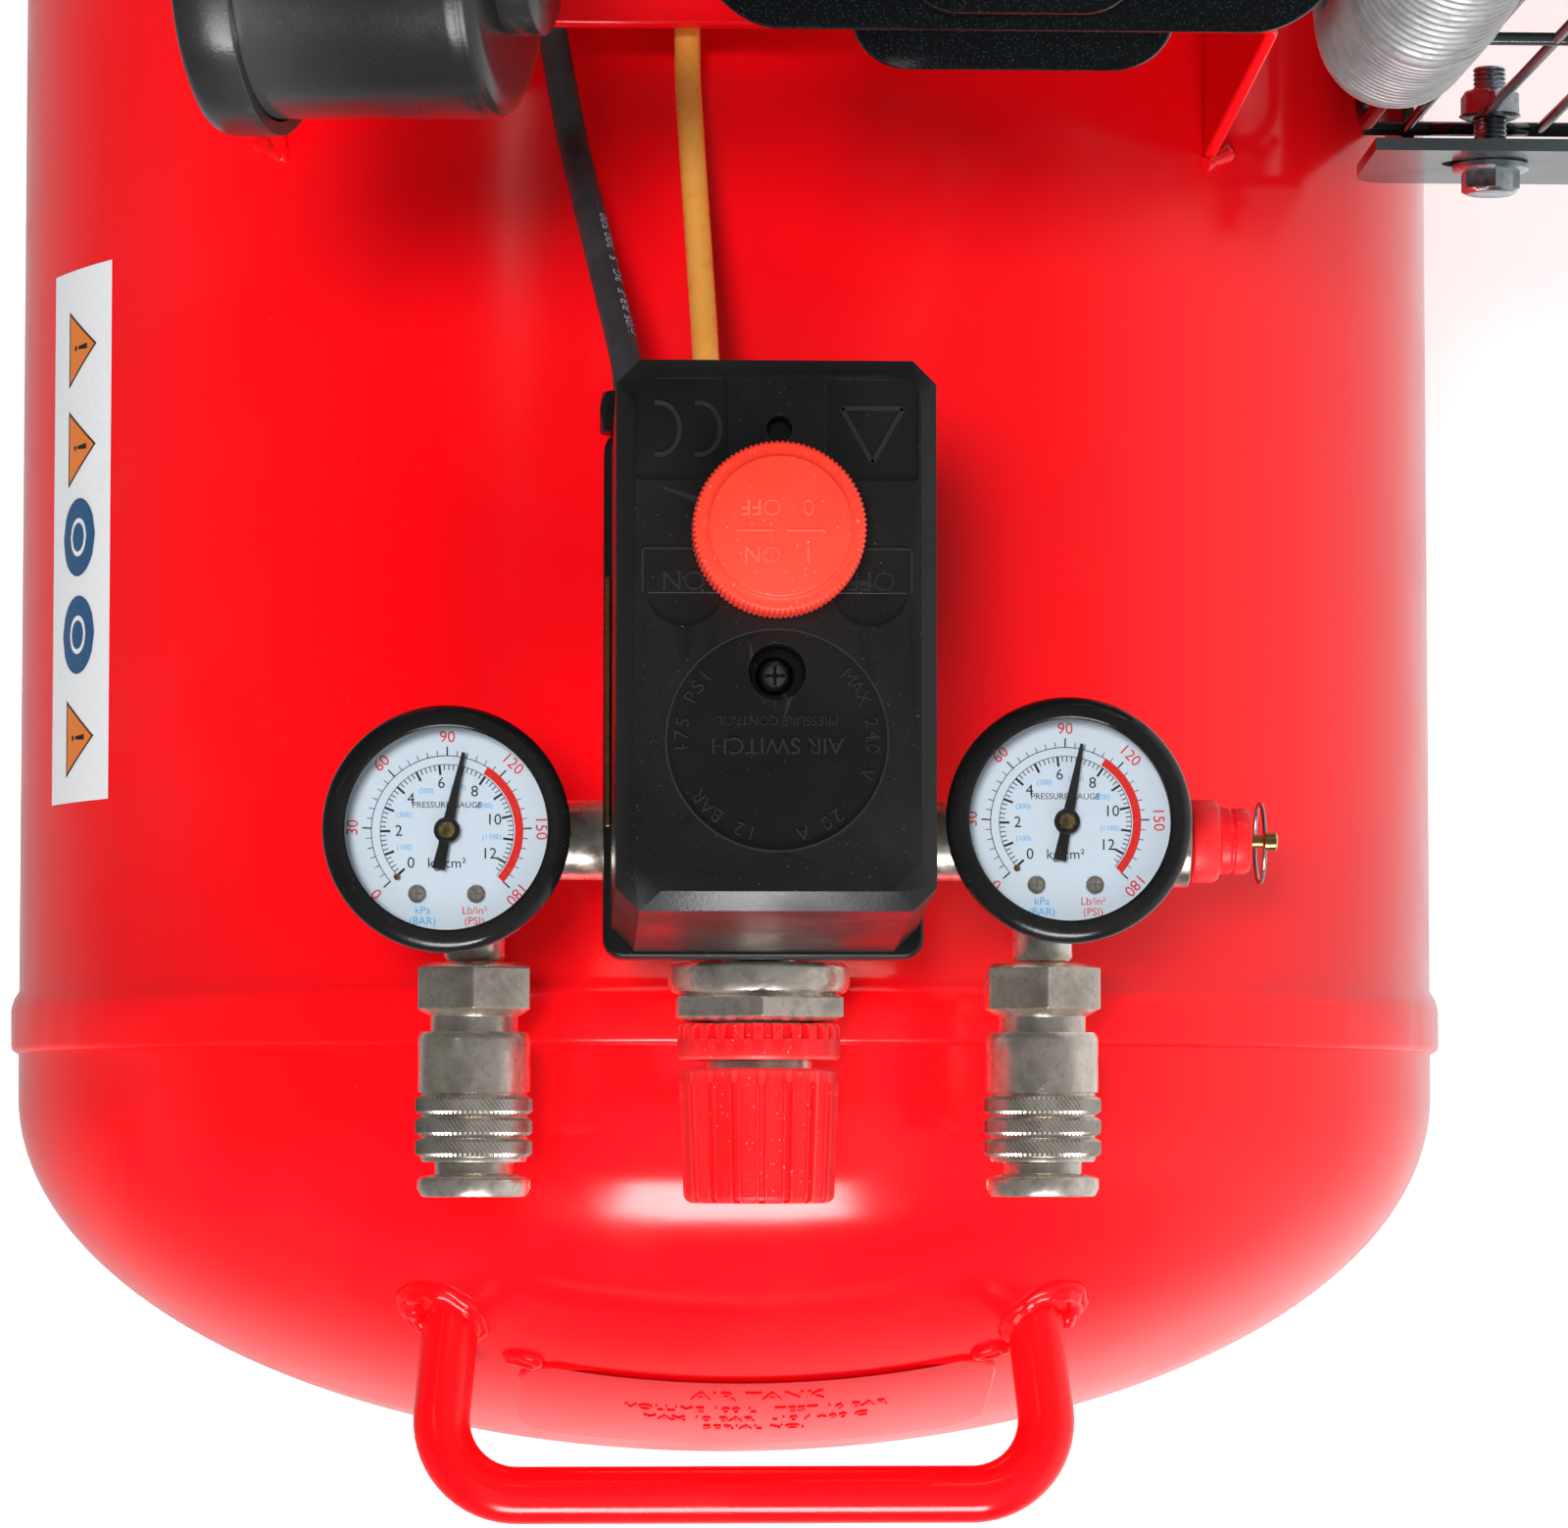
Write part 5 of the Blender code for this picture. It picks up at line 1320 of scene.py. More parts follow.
def regulator():
    """Regulator body, notched lock ring and ribbed knob."""
    at = (0, 0, middle("regulator_knob").z)
    back = near("regulator_body")[1].y
    body = [(0, -back), (0.0085, -back), (0.0085, -0.0107), (0.0192, -0.0107), (0.0203, -0.0098),
            (0.0205, -0.0062), (0.0196, -0.0042), (0.0178, -0.0036), (0.0185, -0.0030, "hex"),
            (0.0185, 0.0014, "hex"), (0.0170, 0.0023), (0.0120, 0.0026), (0.0120, 0.0290), (0, 0.0290)]
    turned("regulator_housing", body, "nickel", at, PIPE_DIRECTION, 96,
           stands_for=["regulator_body"], bevel=0.0003)
    low, high = near("regulator_lock_ring")
    start, end = -high.y, -low.y
    notches = 26
    ring = [(0.0123, start), (0.0176, start), (0.0183, start + 0.0005), (0.0184, start + 0.0008),
            (0.0184, start + 0.0031), (0.0183, start + 0.0034), (0.0184, start + 0.0040),
            (0.0184, end - 0.0008), (0.0178, end), (0.0123, end)]

    def notched(angle, radius, height):
        share = (angle * notches / (2 * math.pi)) % 1
        if radius > 0.0170 and height < start + 0.0033 and share < 0.38:
            return radius - 0.0016
        return radius
    turned("lock_ring", ring, "regulator_red", at, PIPE_DIRECTION, notches * 16, radial=notched,
           body="regulator_lock_ring", stands_for=["regulator_lock_ring"], sharp=30)
    low, high = near("regulator_knob")
    start, end = -high.y, -low.y
    flutes = 18
    profile = [(0.0125, start), (0.0170, start), (0.0177, start + 0.0006), (0.0178, start + 0.0030),
               (0.0177, start + 0.0036)]
    for k in range(1, 13):
        profile.append((0.0177 - 0.0011 * k / 12, start + 0.0036 + (end - start - 0.0050) * k / 12))
    profile += [(0.0160, end - 0.0005), (0.0154, end), (0.0030, end), (0, end), (0, 0.0310),
                (0.0125, 0.0310)]

    def fluted(angle, radius, height):
        if radius < 0.0158 or height < start + 0.0034:
            return radius
        share = ((angle * flutes / (2 * math.pi)) % 1 - 0.5) * 2
        gap = abs(share) * math.pi * radius / flutes
        if gap < 0.0007:
            return radius - 0.0011
        if gap < 0.0013:
            return radius + 0.00035
        return radius
    turned("regulator_grip", profile, "regulator_red", at, PIPE_DIRECTION, flutes * 30,
           radial=fluted, body="regulator_knob", stands_for=["regulator_knob"], sharp=30)


def safety_valve():
    """Red relief valve, its pull pin and its wire ring."""
    low, high = near("safety_valve_body")
    centre = middle("safety_valve_body")
    at = (0, centre.y, centre.z)
    body = [(0, low.x), (0.0086, low.x), (0.0094, low.x + 0.0006), (0.0094, low.x + 0.0056),
            (0.0088, low.x + 0.0064), (0.0076, low.x + 0.0068), (0.0075, low.x + 0.0090),
            (0.0071, low.x + 0.0093), (0.0071, low.x + 0.0098), (0.0075, low.x + 0.0101),
            (0.0075, high.x - 0.0012), (0.0068, high.x), (0.0019, high.x), (0.0019, low.x + 0.0027),
            (0, low.x + 0.0027)]
    turned("relief_valve", body, "regulator_red", at, (1, 0, 0), 96,
           stands_for=["safety_valve_body"], bevel=0.0002)
    low, high = near("safety_valve_pin")
    pin = [(0, low.x), (0.0015, low.x), (0.0015, high.x - 0.0034), (0.0021, high.x - 0.0030),
           (0.0021, high.x - 0.0004), (0.0015, high.x), (0, high.x)]
    turned("relief_pin", pin, "brass", at, (1, 0, 0), 32, body="safety_pin",
           stands_for=["safety_valve_pin"], bevel=0.0002)
    low, high = near("safety_valve_ring")
    centre = (low + high) / 2
    wire = 0.0005
    radius = (high.y - low.y) / 2 - wire
    loop = [centre + Vector((0, radius * math.sin(t), radius * math.cos(t))) for t in around(64)]
    swept("relief_ring", loop, wire, "steel", 12, True, body="safety_ring",
          stands_for=["safety_valve_ring"])


# ---- Tube and cable --------------------------------------------------------------------------

TUBE_ROUTE = (
    (0, 0.7230, 0.200), (0, 0.700, 0.200), (-0.019, 0.660, 0.200), (-0.0158, 0.215, 0.2015),
    (-0.0127, 0.147, 0.238), (-0.012, 0.1283, 0.238),
)
CABLE_ROUTE = (
    (-0.095, 0.497, 0.2615), (-0.095, 0.497, 0.198), (-0.0560, 0.275, 0.1955),
    (-0.0425, 0.202, 0.2000), (-0.0300, 0.143, 0.2385), (-0.0295, 0.1283, 0.2385),
)


def tube_and_cable():
    """Copper unloader tube and the black motor lead with its print."""
    path = resample(bend_corners(TUBE_ROUTE, 0.020), 0.003)
    swept("copper_tube", path, 0.003, "copper", 24, stands_for=["unloader_tube"])
    path = resample(bend_corners(CABLE_ROUTE, 0.014), 0.0025)
    swept("motor_lead", path, 0.0035, "rubber", 32, stands_for=["motor_cable"])
    cable_print(list(reversed(path)), 0.0035)


def cable_print(path, radius):
    """Faint lettering along the lead, reading away from the switch."""
    verts, faces = lettering("H05 RR-F  3G1.5  300/500 V", 0.0034)
    bent = []
    for v in verts:
        reach = v.x + 0.042
        for a, b in zip(path, path[1:]):
            length = (b - a).length
            if reach <= length:
                break
            reach -= length
        tangent = (b - a).normalized()
        side = tangent.cross(UP).normalized()
        turn = math.radians(38) + v.y / radius
        out = side * math.cos(turn) + side.cross(tangent) * math.sin(turn)
        bent.append(a + tangent * reach + out * (radius + 0.00005))
    build("motor_lead_print", bent, faces, "print_grey")


switch_base()
switch_cover()
switch_knob()
cover_screw()
for tag in ("left", "right"):
    gauge(tag)
    coupler(tag)
manifold()
regulator()
safety_valve()
tube_and_cable()

# ---- Pump ------------------------------------------------------------------------------------

CRANK_Y, CRANK_Z = 0.370, 0.295
LEAN = math.radians(45)
FRONT_X, REAR_X = 0.045, 0.030
HEAD_HALF = 0.066
BLOCK_Y = 0.073
SADDLE_TOP = 0.2153
FILTER_Y, FILTER_Z = 0.2083, 0.3849


def pump_matrix(x, lean):
    """Matrix from a cylinder's own frame, its axis along +Z, to tank coordinates."""
    return Matrix.Translation((x, CRANK_Y, CRANK_Z)) @ Matrix.Rotation(lean, 4, "X")


def slab(outline, low, high, edge=0.0012):
    """Flat plate over an outline with its upper and lower edges rounded off."""
    centre = sum((Vector(p) for p in outline), Vector()) / len(outline)
    levels = ((low, edge), (low + edge * 0.35, edge * 0.3), (low + edge, 0), (high - edge, 0),
              (high - edge * 0.35, edge * 0.3), (high, edge))
    rings = []
    for z, inset in levels:
        ring = []
        for p in outline:
            out = Vector((p[0] - centre.x, p[1] - centre.y, 0))
            ring.append(Vector((p[0], p[1], z)) - out.normalized() * inset)
        rings.append(ring)
    return skin(rings)


def bulged_plate(half, bulge, radius):
    """Rounded square whose two long edges bow outwards."""
    ring = []
    for p in rounded_rect(half, -half, half, radius, 0, 12):
        bow = bulge * (1 - (p.x / half) ** 2)
        ring.append(Vector((p.x, p.y + math.copysign(bow, p.y) * min(1, abs(p.y) / half), 0)))
    return ring


def hex_bolt(parts, x, y, z, size, matrix):
    """Add a hexagon bolt head with a chamfer on a washer."""
    spot = matrix @ shifted(x, y, 0, 20 * (x + y) * 1000)
    washer = ((0, z), (size * 1.35, z), (size * 1.35, z + 0.0010), (size, z + 0.0011),
              (0, z + 0.0011))
    parts.add(*solid(washer, 36), spot)
    head = ((0, z + 0.001), (size * 0.90, z + 0.001, "hex"), (size * 0.90, z + 0.0042, "hex"),
            (size * 0.80, z + 0.0048), (0, z + 0.0048))
    parts.add(*solid(head, 36), spot)


def cylinder_head(tag, x, lean):
    """Valve plate, head plate with a tab, raised pad and its bolts."""
    matrix = pump_matrix(x, lean)
    node = "cylinder_head_" + tag
    head = Parts()
    head.add(*slab(rounded_rect(0.057, -0.057, 0.057, 0.020, 0, 10), 0.1583, 0.1672), matrix)
    head.add(*slab(rounded_rect(0.0585, -0.0585, 0.0585, 0.020, 0, 10), 0.1676, 0.1768), matrix)
    head.add(*slab(bulged_plate(0.0634, 0.0058, 0.015), 0.1770, 0.1870), matrix)
    head.add(*slab(rounded_rect(0.0325, -0.0810, -0.040, 0.012, 0, 10), 0.1700, 0.1785), matrix)
    pad = rounded_rect(0.0225, -0.0592, 0.0592, 0.010, 0, 10)
    head.add(*slab(pad, 0.1860, 0.1910), matrix)
    head.build("head_" + tag, "black_paint", stands_for=[node], sharp=50)
    bolts = Parts()
    for bx in (-0.047, 0.047):
        for by in (-0.047, 0, 0.047):
            hex_bolt(bolts, bx, by, 0.1869, 0.0065, matrix)
    for by in (-0.030, 0.030):
        hex_bolt(bolts, 0, by, 0.1909, 0.0055, matrix)
    bolts.build("head_bolts_" + tag, "zinc")


def squircle(half, power):
    """Outline between a circle, for power 2, and a square."""
    ring = []
    for turn in around(72):
        c, s = math.cos(turn), math.sin(turn)
        r = half / (abs(c) ** power + abs(s) ** power) ** (1 / power)
        ring.append(Vector((r * c, r * s, 0)))
    return ring


def cylinder(tag, x, lean):
    """Cylinder with thin square cooling fins."""
    matrix = pump_matrix(x, lean)
    low, high, fins = 0.0733, 0.1580, 10
    pitch = (high - low) / fins
    rings = []

    def ring(half, z, power=6):
        rings.append([p + Vector((0, 0, z)) for p in squircle(half, power)])
    for k in range(fins):
        z = low + k * pitch
        ring(0.044, z + 0.0001)
        ring(0.044, z + pitch * 0.55)
        ring(0.0545, z + pitch * 0.68)
        ring(0.0550, z + pitch * 0.78)
        ring(0.0545, z + pitch * 0.90)
    ring(0.044, high)
    ring(0.0325, high, 2)
    ring(0.0325, low, 2)
    parts = Parts()
    parts.add(*skin(rings, closed=True), matrix)
    parts.build("cylinder_fins_" + tag, "cast_iron", stands_for=["cylinder_" + tag], sharp=50)


def crankcase():
    """Cast case with its feet, two bearing covers, their bolts and an oil sight glass."""
    pad = BLOCK_Y * math.sin(LEAN)
    half = 0.045 * math.sin(LEAN)
    base = SADDLE_TOP - CRANK_Z
    right = ((0.080, base), (0.080, base + 0.012), (0.062, base + 0.014), (0.066, -0.020),
             (pad + half, pad - half), (pad - half, pad + half))
    outline = [(CRANK_Y + y, CRANK_Z + z) for y, z in right]
    outline += [(CRANK_Y - y, CRANK_Z + z) for y, z in reversed(right)]
    rings = [[Vector((x, y, z)) for y, z in outline] for x in (-0.032, 0.120)]
    build("crankcase_casting", *skin(rings), "cast_iron", stands_for=["crankcase"], bevel=0.003,
          sharp=30)
    covers = Parts()
    blind = ((0, -0.0315), (0.046, -0.0315), (0.046, -0.0355), (0.044, -0.037), (0.028, -0.037),
             (0.026, -0.040), (0, -0.040))
    open_ended = ((0.0135, 0.119), (0.040, 0.119), (0.040, 0.125), (0.034, 0.130), (0.020, 0.138),
                  (0.0135, 0.138))
    for sections in (blind, open_ended):
        covers.add(*solid(sections, 72), spot_at((0, CRANK_Y, CRANK_Z), (1, 0, 0)))
    covers.build("crankcase_covers", "cast_iron", sharp=40)
    bolts = Parts()
    facing = spot_at((-0.037, CRANK_Y, CRANK_Z), (-1, 0, 0))
    for k in range(6):
        turn = math.radians(60 * k + 30)
        hex_bolt(bolts, 0.036 * math.cos(turn), 0.036 * math.sin(turn), 0, 0.005, facing)
    for x in (-0.020, 0.108):
        for y in (-0.073, 0.073):
            hex_bolt(bolts, 0, 0, 0, 0.0058, Matrix.Translation((x, CRANK_Y + y, 0.2271)))
    bolts.build("crankcase_bolts", "zinc")
    glass = ((0, 0.0355), (0.0125, 0.0355), (0.0125, 0.0395), (0.0105, 0.0405), (0.0085, 0.0385),
             (0, 0.0385))
    turned("oil_sight_glass", glass, "brass", (0, CRANK_Y, CRANK_Z - 0.050), (-1, 0, 0), 48)


def filter_pieces():
    """Front filter with its loose lid, and the rear one."""
    body = [(0, 0.0045), (0.011, 0.0045), (0.011, 0.0295), (0.0125, 0.0300), (0.0180, 0.0302),
            (0.0185, 0.0307), (0.0185, 0.0370), (0.0300, 0.0372), (0.0325, 0.0376), (0.0338, 0.0384),
            (0.0345, 0.0396), (0.0344, 0.0402), (0.0346, 0.0408), (0.0350, 0.0418), (0.0350, 0.0430),
            (0.0348, 0.0640), (0.0350, 0.0898)]
    inside = [(0.0330, 0.0900), (0.0330, 0.0430), (0, 0.0420)]
    lid = [(0.0355, 0.0852), (0.0382, 0.0850), (0.0385, 0.0854), (0.0385, 0.0940), (0.0382, 0.0954),
           (0.0374, 0.0966), (0.0358, 0.0973), (0.0320, 0.0975), (0.0310, 0.0970), (0.0240, 0.0970),
           (0.0230, 0.0985), (0, 0.0985), (0, 0.0905), (0.0355, 0.0905)]
    front = (FRONT_X - HEAD_HALF + 0.0013, FILTER_Y, FILTER_Z)
    drooping = (-0.970, 0.034, -0.234)
    rear = (REAR_X - HEAD_HALF - GAP, 2 * CRANK_Y - FILTER_Y, FILTER_Z)
    for name, node, sections, origin, direction in (
            ("filter_body_front", "air_filter_body_front", body + inside, front, drooping),
            ("filter_lid_front", "air_filter_lid_front", lid, front, drooping),
            ("filter_rear", "air_filter_rear", body + lid[:12], rear, (-0.98, 0, 0.15))):
        turned(name, sections, "filter_black", origin, direction, 128, stands_for=[node], sharp=50)


def ribbed(name, path, radius, depth, pitch, node, skip):
    """Corrugated pipe whose first and last stretches stay plain and thin."""
    fine = resample(path, pitch / 4)
    wave = (0.0, 0.80, 1.0, 0.80)
    count = len(fine)

    def reach(i):
        if i < skip or i > count - skip:
            return radius * 0.62
        return radius - depth * (1 - wave[i % 4])
    swept(name, fine, reach, "aluminium", 56, stands_for=[node], sharp=60)


LINK_ROUTE = (
    (0.1025, 0.244, 0.4067), (0.1302, 0.244, 0.4067), (0.1290, 0.244, 0.326),
    (0.1272, 0.200, 0.326), (0.1272, 0.200, 0.385), (0.1305, 0.208, 0.430),
    (0.1313, 0.222, 0.487), (0.1313, 0.503, 0.487), (0.1290, 0.503, 0.3997),
    (0.0875, 0.503, 0.3997),
)
CHECK_VALVE_Y = 0.740


def pipes():
    path = bend_corners(LINK_ROUTE, 0.0175, 14)
    ribbed("link_pipe_ribs", path, 0.0160, 0.0018, 0.003, "link_pipe", 10)
    turn = Matrix.Rotation(-LEAN, 3, "X")
    start = Vector((REAR_X, CRANK_Y, CRANK_Z)) + turn @ Vector((-0.040, 0.030, 0.1873))
    route = (start, start + turn @ Vector((0, 0, 0.040)), (0, CHECK_VALVE_Y, 0.440),
             (0, CHECK_VALVE_Y, 0.2353))
    path = bend_corners(route, 0.025, 14)
    ribbed("discharge_pipe_ribs", path, 0.0082, 0.0012, 0.003, "discharge_pipe", 10)
    nuts = Parts()
    nut = [(0, 0), (0.0125, 0), (0.0130, 0.0004, "hex"), (0.0130, 0.0060, "hex"), (0.0115, 0.0068),
           (0, 0.0068)]
    for at, direction in (((0.1110, 0.244, 0.4067), (1, 0, 0)), (start, turn @ UP)):
        nuts.add(*solid(nut, 48), spot_at(at, direction))
    nuts.build("pipe_nuts", "brass")
    valve = [(0, 0.179), (0.0105, 0.179), (0.0105, 0.1862), (0.0136, 0.1865),
             (0.0142, 0.1872, "hex"), (0.0142, 0.2072, "hex"), (0.0134, 0.2080), (0.0110, 0.2085),
             (0.0107, 0.2120), (0.0110, 0.2160), (0.0107, 0.2200), (0.0110, 0.2240),
             (0.0142, 0.2243), (0.0150, 0.2250, "hex"), (0.0150, 0.2342, "hex"), (0.0140, 0.2350),
             (0, 0.2350)]
    turned("check_valve_body", valve, "brass", (0, CHECK_VALVE_Y, 0), segments=96,
           stands_for=["check_valve"])


for tag, x, lean in (("front", FRONT_X, LEAN), ("rear", REAR_X, -LEAN)):
    cylinder_head(tag, x, lean)
    cylinder(tag, x, lean)
crankcase()
filter_pieces()
pipes()

# ---- Drive -----------------------------------------------------------------------------------

BELT_X = 0.1825
MOTOR_Y, MOTOR_Z = 0.590, 0.298
BIG_R, SMALL_R = 0.140, 0.045
BELT_TOP, BELT_THICK, BELT_SLOPE = 0.0062, 0.008, 0.278
WIRE = 0.0013
BOLT_X, BOLT_Z = 0.180, 0.147


def groove(radius, half, hub):
    """Rim sections of a V pulley with softened lips."""
    top = BELT_TOP + 0.0003
    deep = 0.0095
    floor_half = top - deep * BELT_SLOPE
    return [(hub, -half), (radius - 0.001, -half), (radius, -half + 0.001), (radius, -top - 0.0006),
            (radius - 0.0005, -top), (radius - deep, -floor_half), (radius - deep, floor_half),
            (radius - 0.0005, top), (radius, top + 0.0006), (radius, half - 0.001),
            (radius - 0.001, half), (hub, half)]


def round_openings(target, hub, sign, ring, radius, depth, angles, segments):
    """Cut holes along X, spread on a ring round a wheel's hub."""
    for angle in map(math.radians, angles):
        centre = Vector((hub[0], hub[1] + ring * math.cos(angle), hub[2] + ring * math.sin(angle)))
        spot = spot_at(centre, (sign, 0, 0))
        verts, faces = solid([(0, 0), (radius, 0), (radius, depth), (0, depth)], segments)
        cut(target, [spot @ v for v in verts], faces)


def flywheel():
    """Cast flywheel with a grooved rim and five round openings in its web."""
    sections = [(0.0128, -0.022), (0.0275, -0.022), (0.0290, -0.0205), (0.0310, -0.005), (0.116, -0.005),
                (0.1185, -0.0065)]
    sections += groove(BIG_R, 0.0175, 0.1200)
    sections += [(0.1185, 0.0065), (0.116, 0.005), (0.0310, 0.005), (0.0290, 0.0185), (0.0275, 0.020),
                 (0.0128, 0.020)]
    at = (BELT_X, CRANK_Y, CRANK_Z)
    wheel = turned("flywheel_casting", sections, "cast_iron", at, (1, 0, 0), 160, body="flywheel",
                   stands_for=["flywheel"], sharp=40)
    start = (BELT_X - 0.02, CRANK_Y, CRANK_Z)
    round_openings(wheel, start, 1, 0.073, 0.029, 0.04, range(90, 450, 72), 48)
    nut = [(0, 0.0205), (0.0190, 0.0205), (0.0190, 0.0225), (0.0140, 0.0227), (0.0145, 0.0232, "hex"),
           (0.0145, 0.0330, "hex"), (0.0130, 0.0340), (0, 0.0340)]
    turned("flywheel_nut", nut, "zinc", at, (1, 0, 0), 60, body="flywheel")


def motor_pulley():
    """Steel pulley with a stepped hub."""
    sections = [(0, -0.088), (0.0095, -0.088), (0.0095, -0.014), (0.019, -0.014), (0.020, -0.013),
                (0.020, -0.011)]
    sections += groove(SMALL_R, 0.0110, 0.022)
    sections += [(0.020, 0.011), (0.020, 0.015), (0.019, 0.016), (0.008, 0.016), (0.0075, 0.0145),
                 (0, 0.0145)]
    turned("pulley", sections, "steel", (BELT_X, MOTOR_Y, MOTOR_Z), (1, 0, 0), 120,
           body="motor_pulley", stands_for=["motor_pulley"])


def drive_belt():
    """V belt wrapped round both pulleys."""
    big, small = Vector((0, CRANK_Y, CRANK_Z)), Vector((0, MOTOR_Y, MOTOR_Z))
    span = small - big
    heading = math.atan2(span.z, span.y)
    wrap = math.acos((BIG_R - SMALL_R) / span.length)
    arcs = ((big, BIG_R, heading + wrap, heading + 2 * math.pi - wrap, 140),
            (small, SMALL_R, heading - wrap, heading + wrap, 60))
    low = BELT_TOP - BELT_THICK * BELT_SLOPE
    profile = ((BELT_TOP - 0.0008, 0), (BELT_TOP, 0.0007), (low, BELT_THICK - 0.0005),
               (low - 0.0005, BELT_THICK), (-low + 0.0005, BELT_THICK), (-low, BELT_THICK - 0.0005),
               (-BELT_TOP, 0.0007), (-BELT_TOP + 0.0008, 0))
    rings = []
    for centre, radius, start, end, count in arcs:
        for k in range(count + 1):
            angle = start + (end - start) * k / count
            out = Vector((0, math.cos(angle), math.sin(angle)))
            rings.append([centre + out * (radius - drop) + Vector((BELT_X + half, 0, 0))
                          for half, drop in profile])
    build("belt", *skin(rings, closed=True), "rubber", stands_for=["drive_belt"])


def motor():
    """Ribbed motor with a fan cowl, feet and a terminal box."""
    barrel = 0.0690
    sections = [(0, -0.155), (0.045, -0.155), (0.062, -0.1500), (0.070, -0.145), (0.0740, -0.139),
                (0.075, -0.135), (0.075, -0.108), (0.0735, -0.1062), (barrel, -0.106)]
    sections += [(barrel, -0.104 + 0.180 * k / 3) for k in range(4)]
    sections += [(barrel, 0.078), (0.0735, 0.0785), (0.075, 0.080), (0.075, 0.098), (0.0735, 0.101),
                 (0.068, 0.108), (0.045, 0.1085), (0.030, 0.112), (0.0098, 0.112), (0.0098, 0.090),
                 (0, 0.090)]

    def fins(angle, r, x):
        return r + 0.0045 * max(0, math.cos(angle * 40)) ** 0.5 if abs(r - barrel) < 1e-6 else r
    turned("motor_frame", sections, "black_paint", (0, MOTOR_Y, MOTOR_Z), (1, 0, 0), 320, fins,
           stands_for=["motor_body"], sharp=45)
    blocks = Parts()
    foot_top = 0.2213
    blocks.add(*slab_box((-0.085, MOTOR_Y - 0.060, SADDLE_TOP), (0.060, MOTOR_Y + 0.060, foot_top),
                         0.004))
    blocks.add(*slab_box((-0.080, MOTOR_Y - 0.038, foot_top), (0.055, MOTOR_Y + 0.038, 0.246),
                         0.003))
    blocks.build("motor_feet", "black_paint", bevel=0.001)
    box = Parts()
    box.add(*slab_box((-0.127, 0.477, 0.262), (-0.063, 0.532, 0.314), 0.005))
    box.add(*slab_box((-0.1285, 0.4755, 0.3142), (-0.0615, 0.5335, 0.322), 0.006))
    box.build("terminal_box", "black_plastic", bevel=0.001)
    screws = Parts()
    for x in (-0.1225, -0.0675):
        for y in (0.4815, 0.5275):
            screw_head(screws, x, y, 0.322, 0.003)
    for x in (-0.075, 0.050):
        for y in (-0.050, 0.050):
            hex_bolt(screws, 0, 0, 0, 0.0058, Matrix.Translation((x, MOTOR_Y + y, foot_top)))
    screws.build("motor_screws", "zinc")
    slots = Parts()
    facing = spot_at((-0.1552, MOTOR_Y, MOTOR_Z), (-1, 0, 0))
    slot = slab(rounded_rect(0.0035, -0.0018, 0.0018, 0.0016, 0, 4), 0, 0.0005, 0.0001)
    for ring, count in ((0.016, 8), (0.027, 12), (0.038, 18)):
        for turn in around(count):
            spot = facing @ Matrix.Rotation(turn, 4, "Z") @ Matrix.Translation((ring, 0, 0))
            slots.add(*slot, spot)
    slots.build("cowl_vents", "rubber")


def slab_box(low, high, corner):
    """Box between two corners with its upright edges rounded."""
    half_x = (high[0] - low[0]) / 2
    aside = Vector(((high[0] + low[0]) / 2, 0, 0))
    outline = [p + aside for p in rounded_rect(half_x, low[1], high[1], corner, 0, 6)]
    return skin([[Vector((p.x, p.y, z)) for p in outline] for z in (low[2], high[2])])


def belt_guard():
    """Cage of round wires: hoops open on the pump side, and long wires round three sides."""
    low, high = near("belt_guard")
    margin = 0.0015
    inner, outer = low.x + margin, high.x - margin
    front, back = low.y + margin, high.y - margin
    bottom, top = low.z + margin, high.z - margin
    cage = Parts()
    stands = [front + 0.0205 + 0.0163 * k for k in range(26)]
    for y in stands:
        hoop = ((outer, y, bottom), (outer, y, top), (inner, y, top))
        cage.add(*sweep(bend_corners(hoop, 0.010, 6), WIRE, 10))
    uprights = [inner + 0.0105 + 0.0165 * k for k in range(5)]
    for y in (front, back):
        for x in uprights:
            cage.add(*sweep([Vector((x, y, bottom)), Vector((x, y, top))], WIRE, 12))
    for k in range(4):
        z = bottom + (top - bottom) * k / 3
        run = ((inner, front, z), (outer, front, z), (outer, back, z), (inner, back, z))
        cage.add(*sweep(bend_corners(run, 0.012, 8), 0.0018 if k in (0, 3) else 0.0015, 14))
    for k in range(1, 4):
        x = inner + (outer - inner) * k / 4
        cage.add(*sweep([Vector((x, front, top)), Vector((x, back, top))], WIRE, 10))
    centre = (front + back) / 2
    rim = ((inner, centre, bottom), (inner, front, bottom), (inner, front, top), (inner, back, top),
           (inner, back, bottom), (inner, centre + 0.001, bottom))
    cage.add(*sweep(bend_corners(rim, 0.010, 8), 0.0020, 16))
    over = bottom + 0.006
    dip = ((0.158, front, bottom), (0.168, front - 0.0001, bottom), (0.173, front - 0.001, over),
           (0.187, front - 0.001, over), (0.192, front, bottom), (0.204, front, bottom))
    cage.add(*sweep(bend_corners(dip, 0.0015, 4), 0.0016, 12))
    cage.build("guard_cage", "black_paint", stands_for=["belt_guard"], sharp=60)


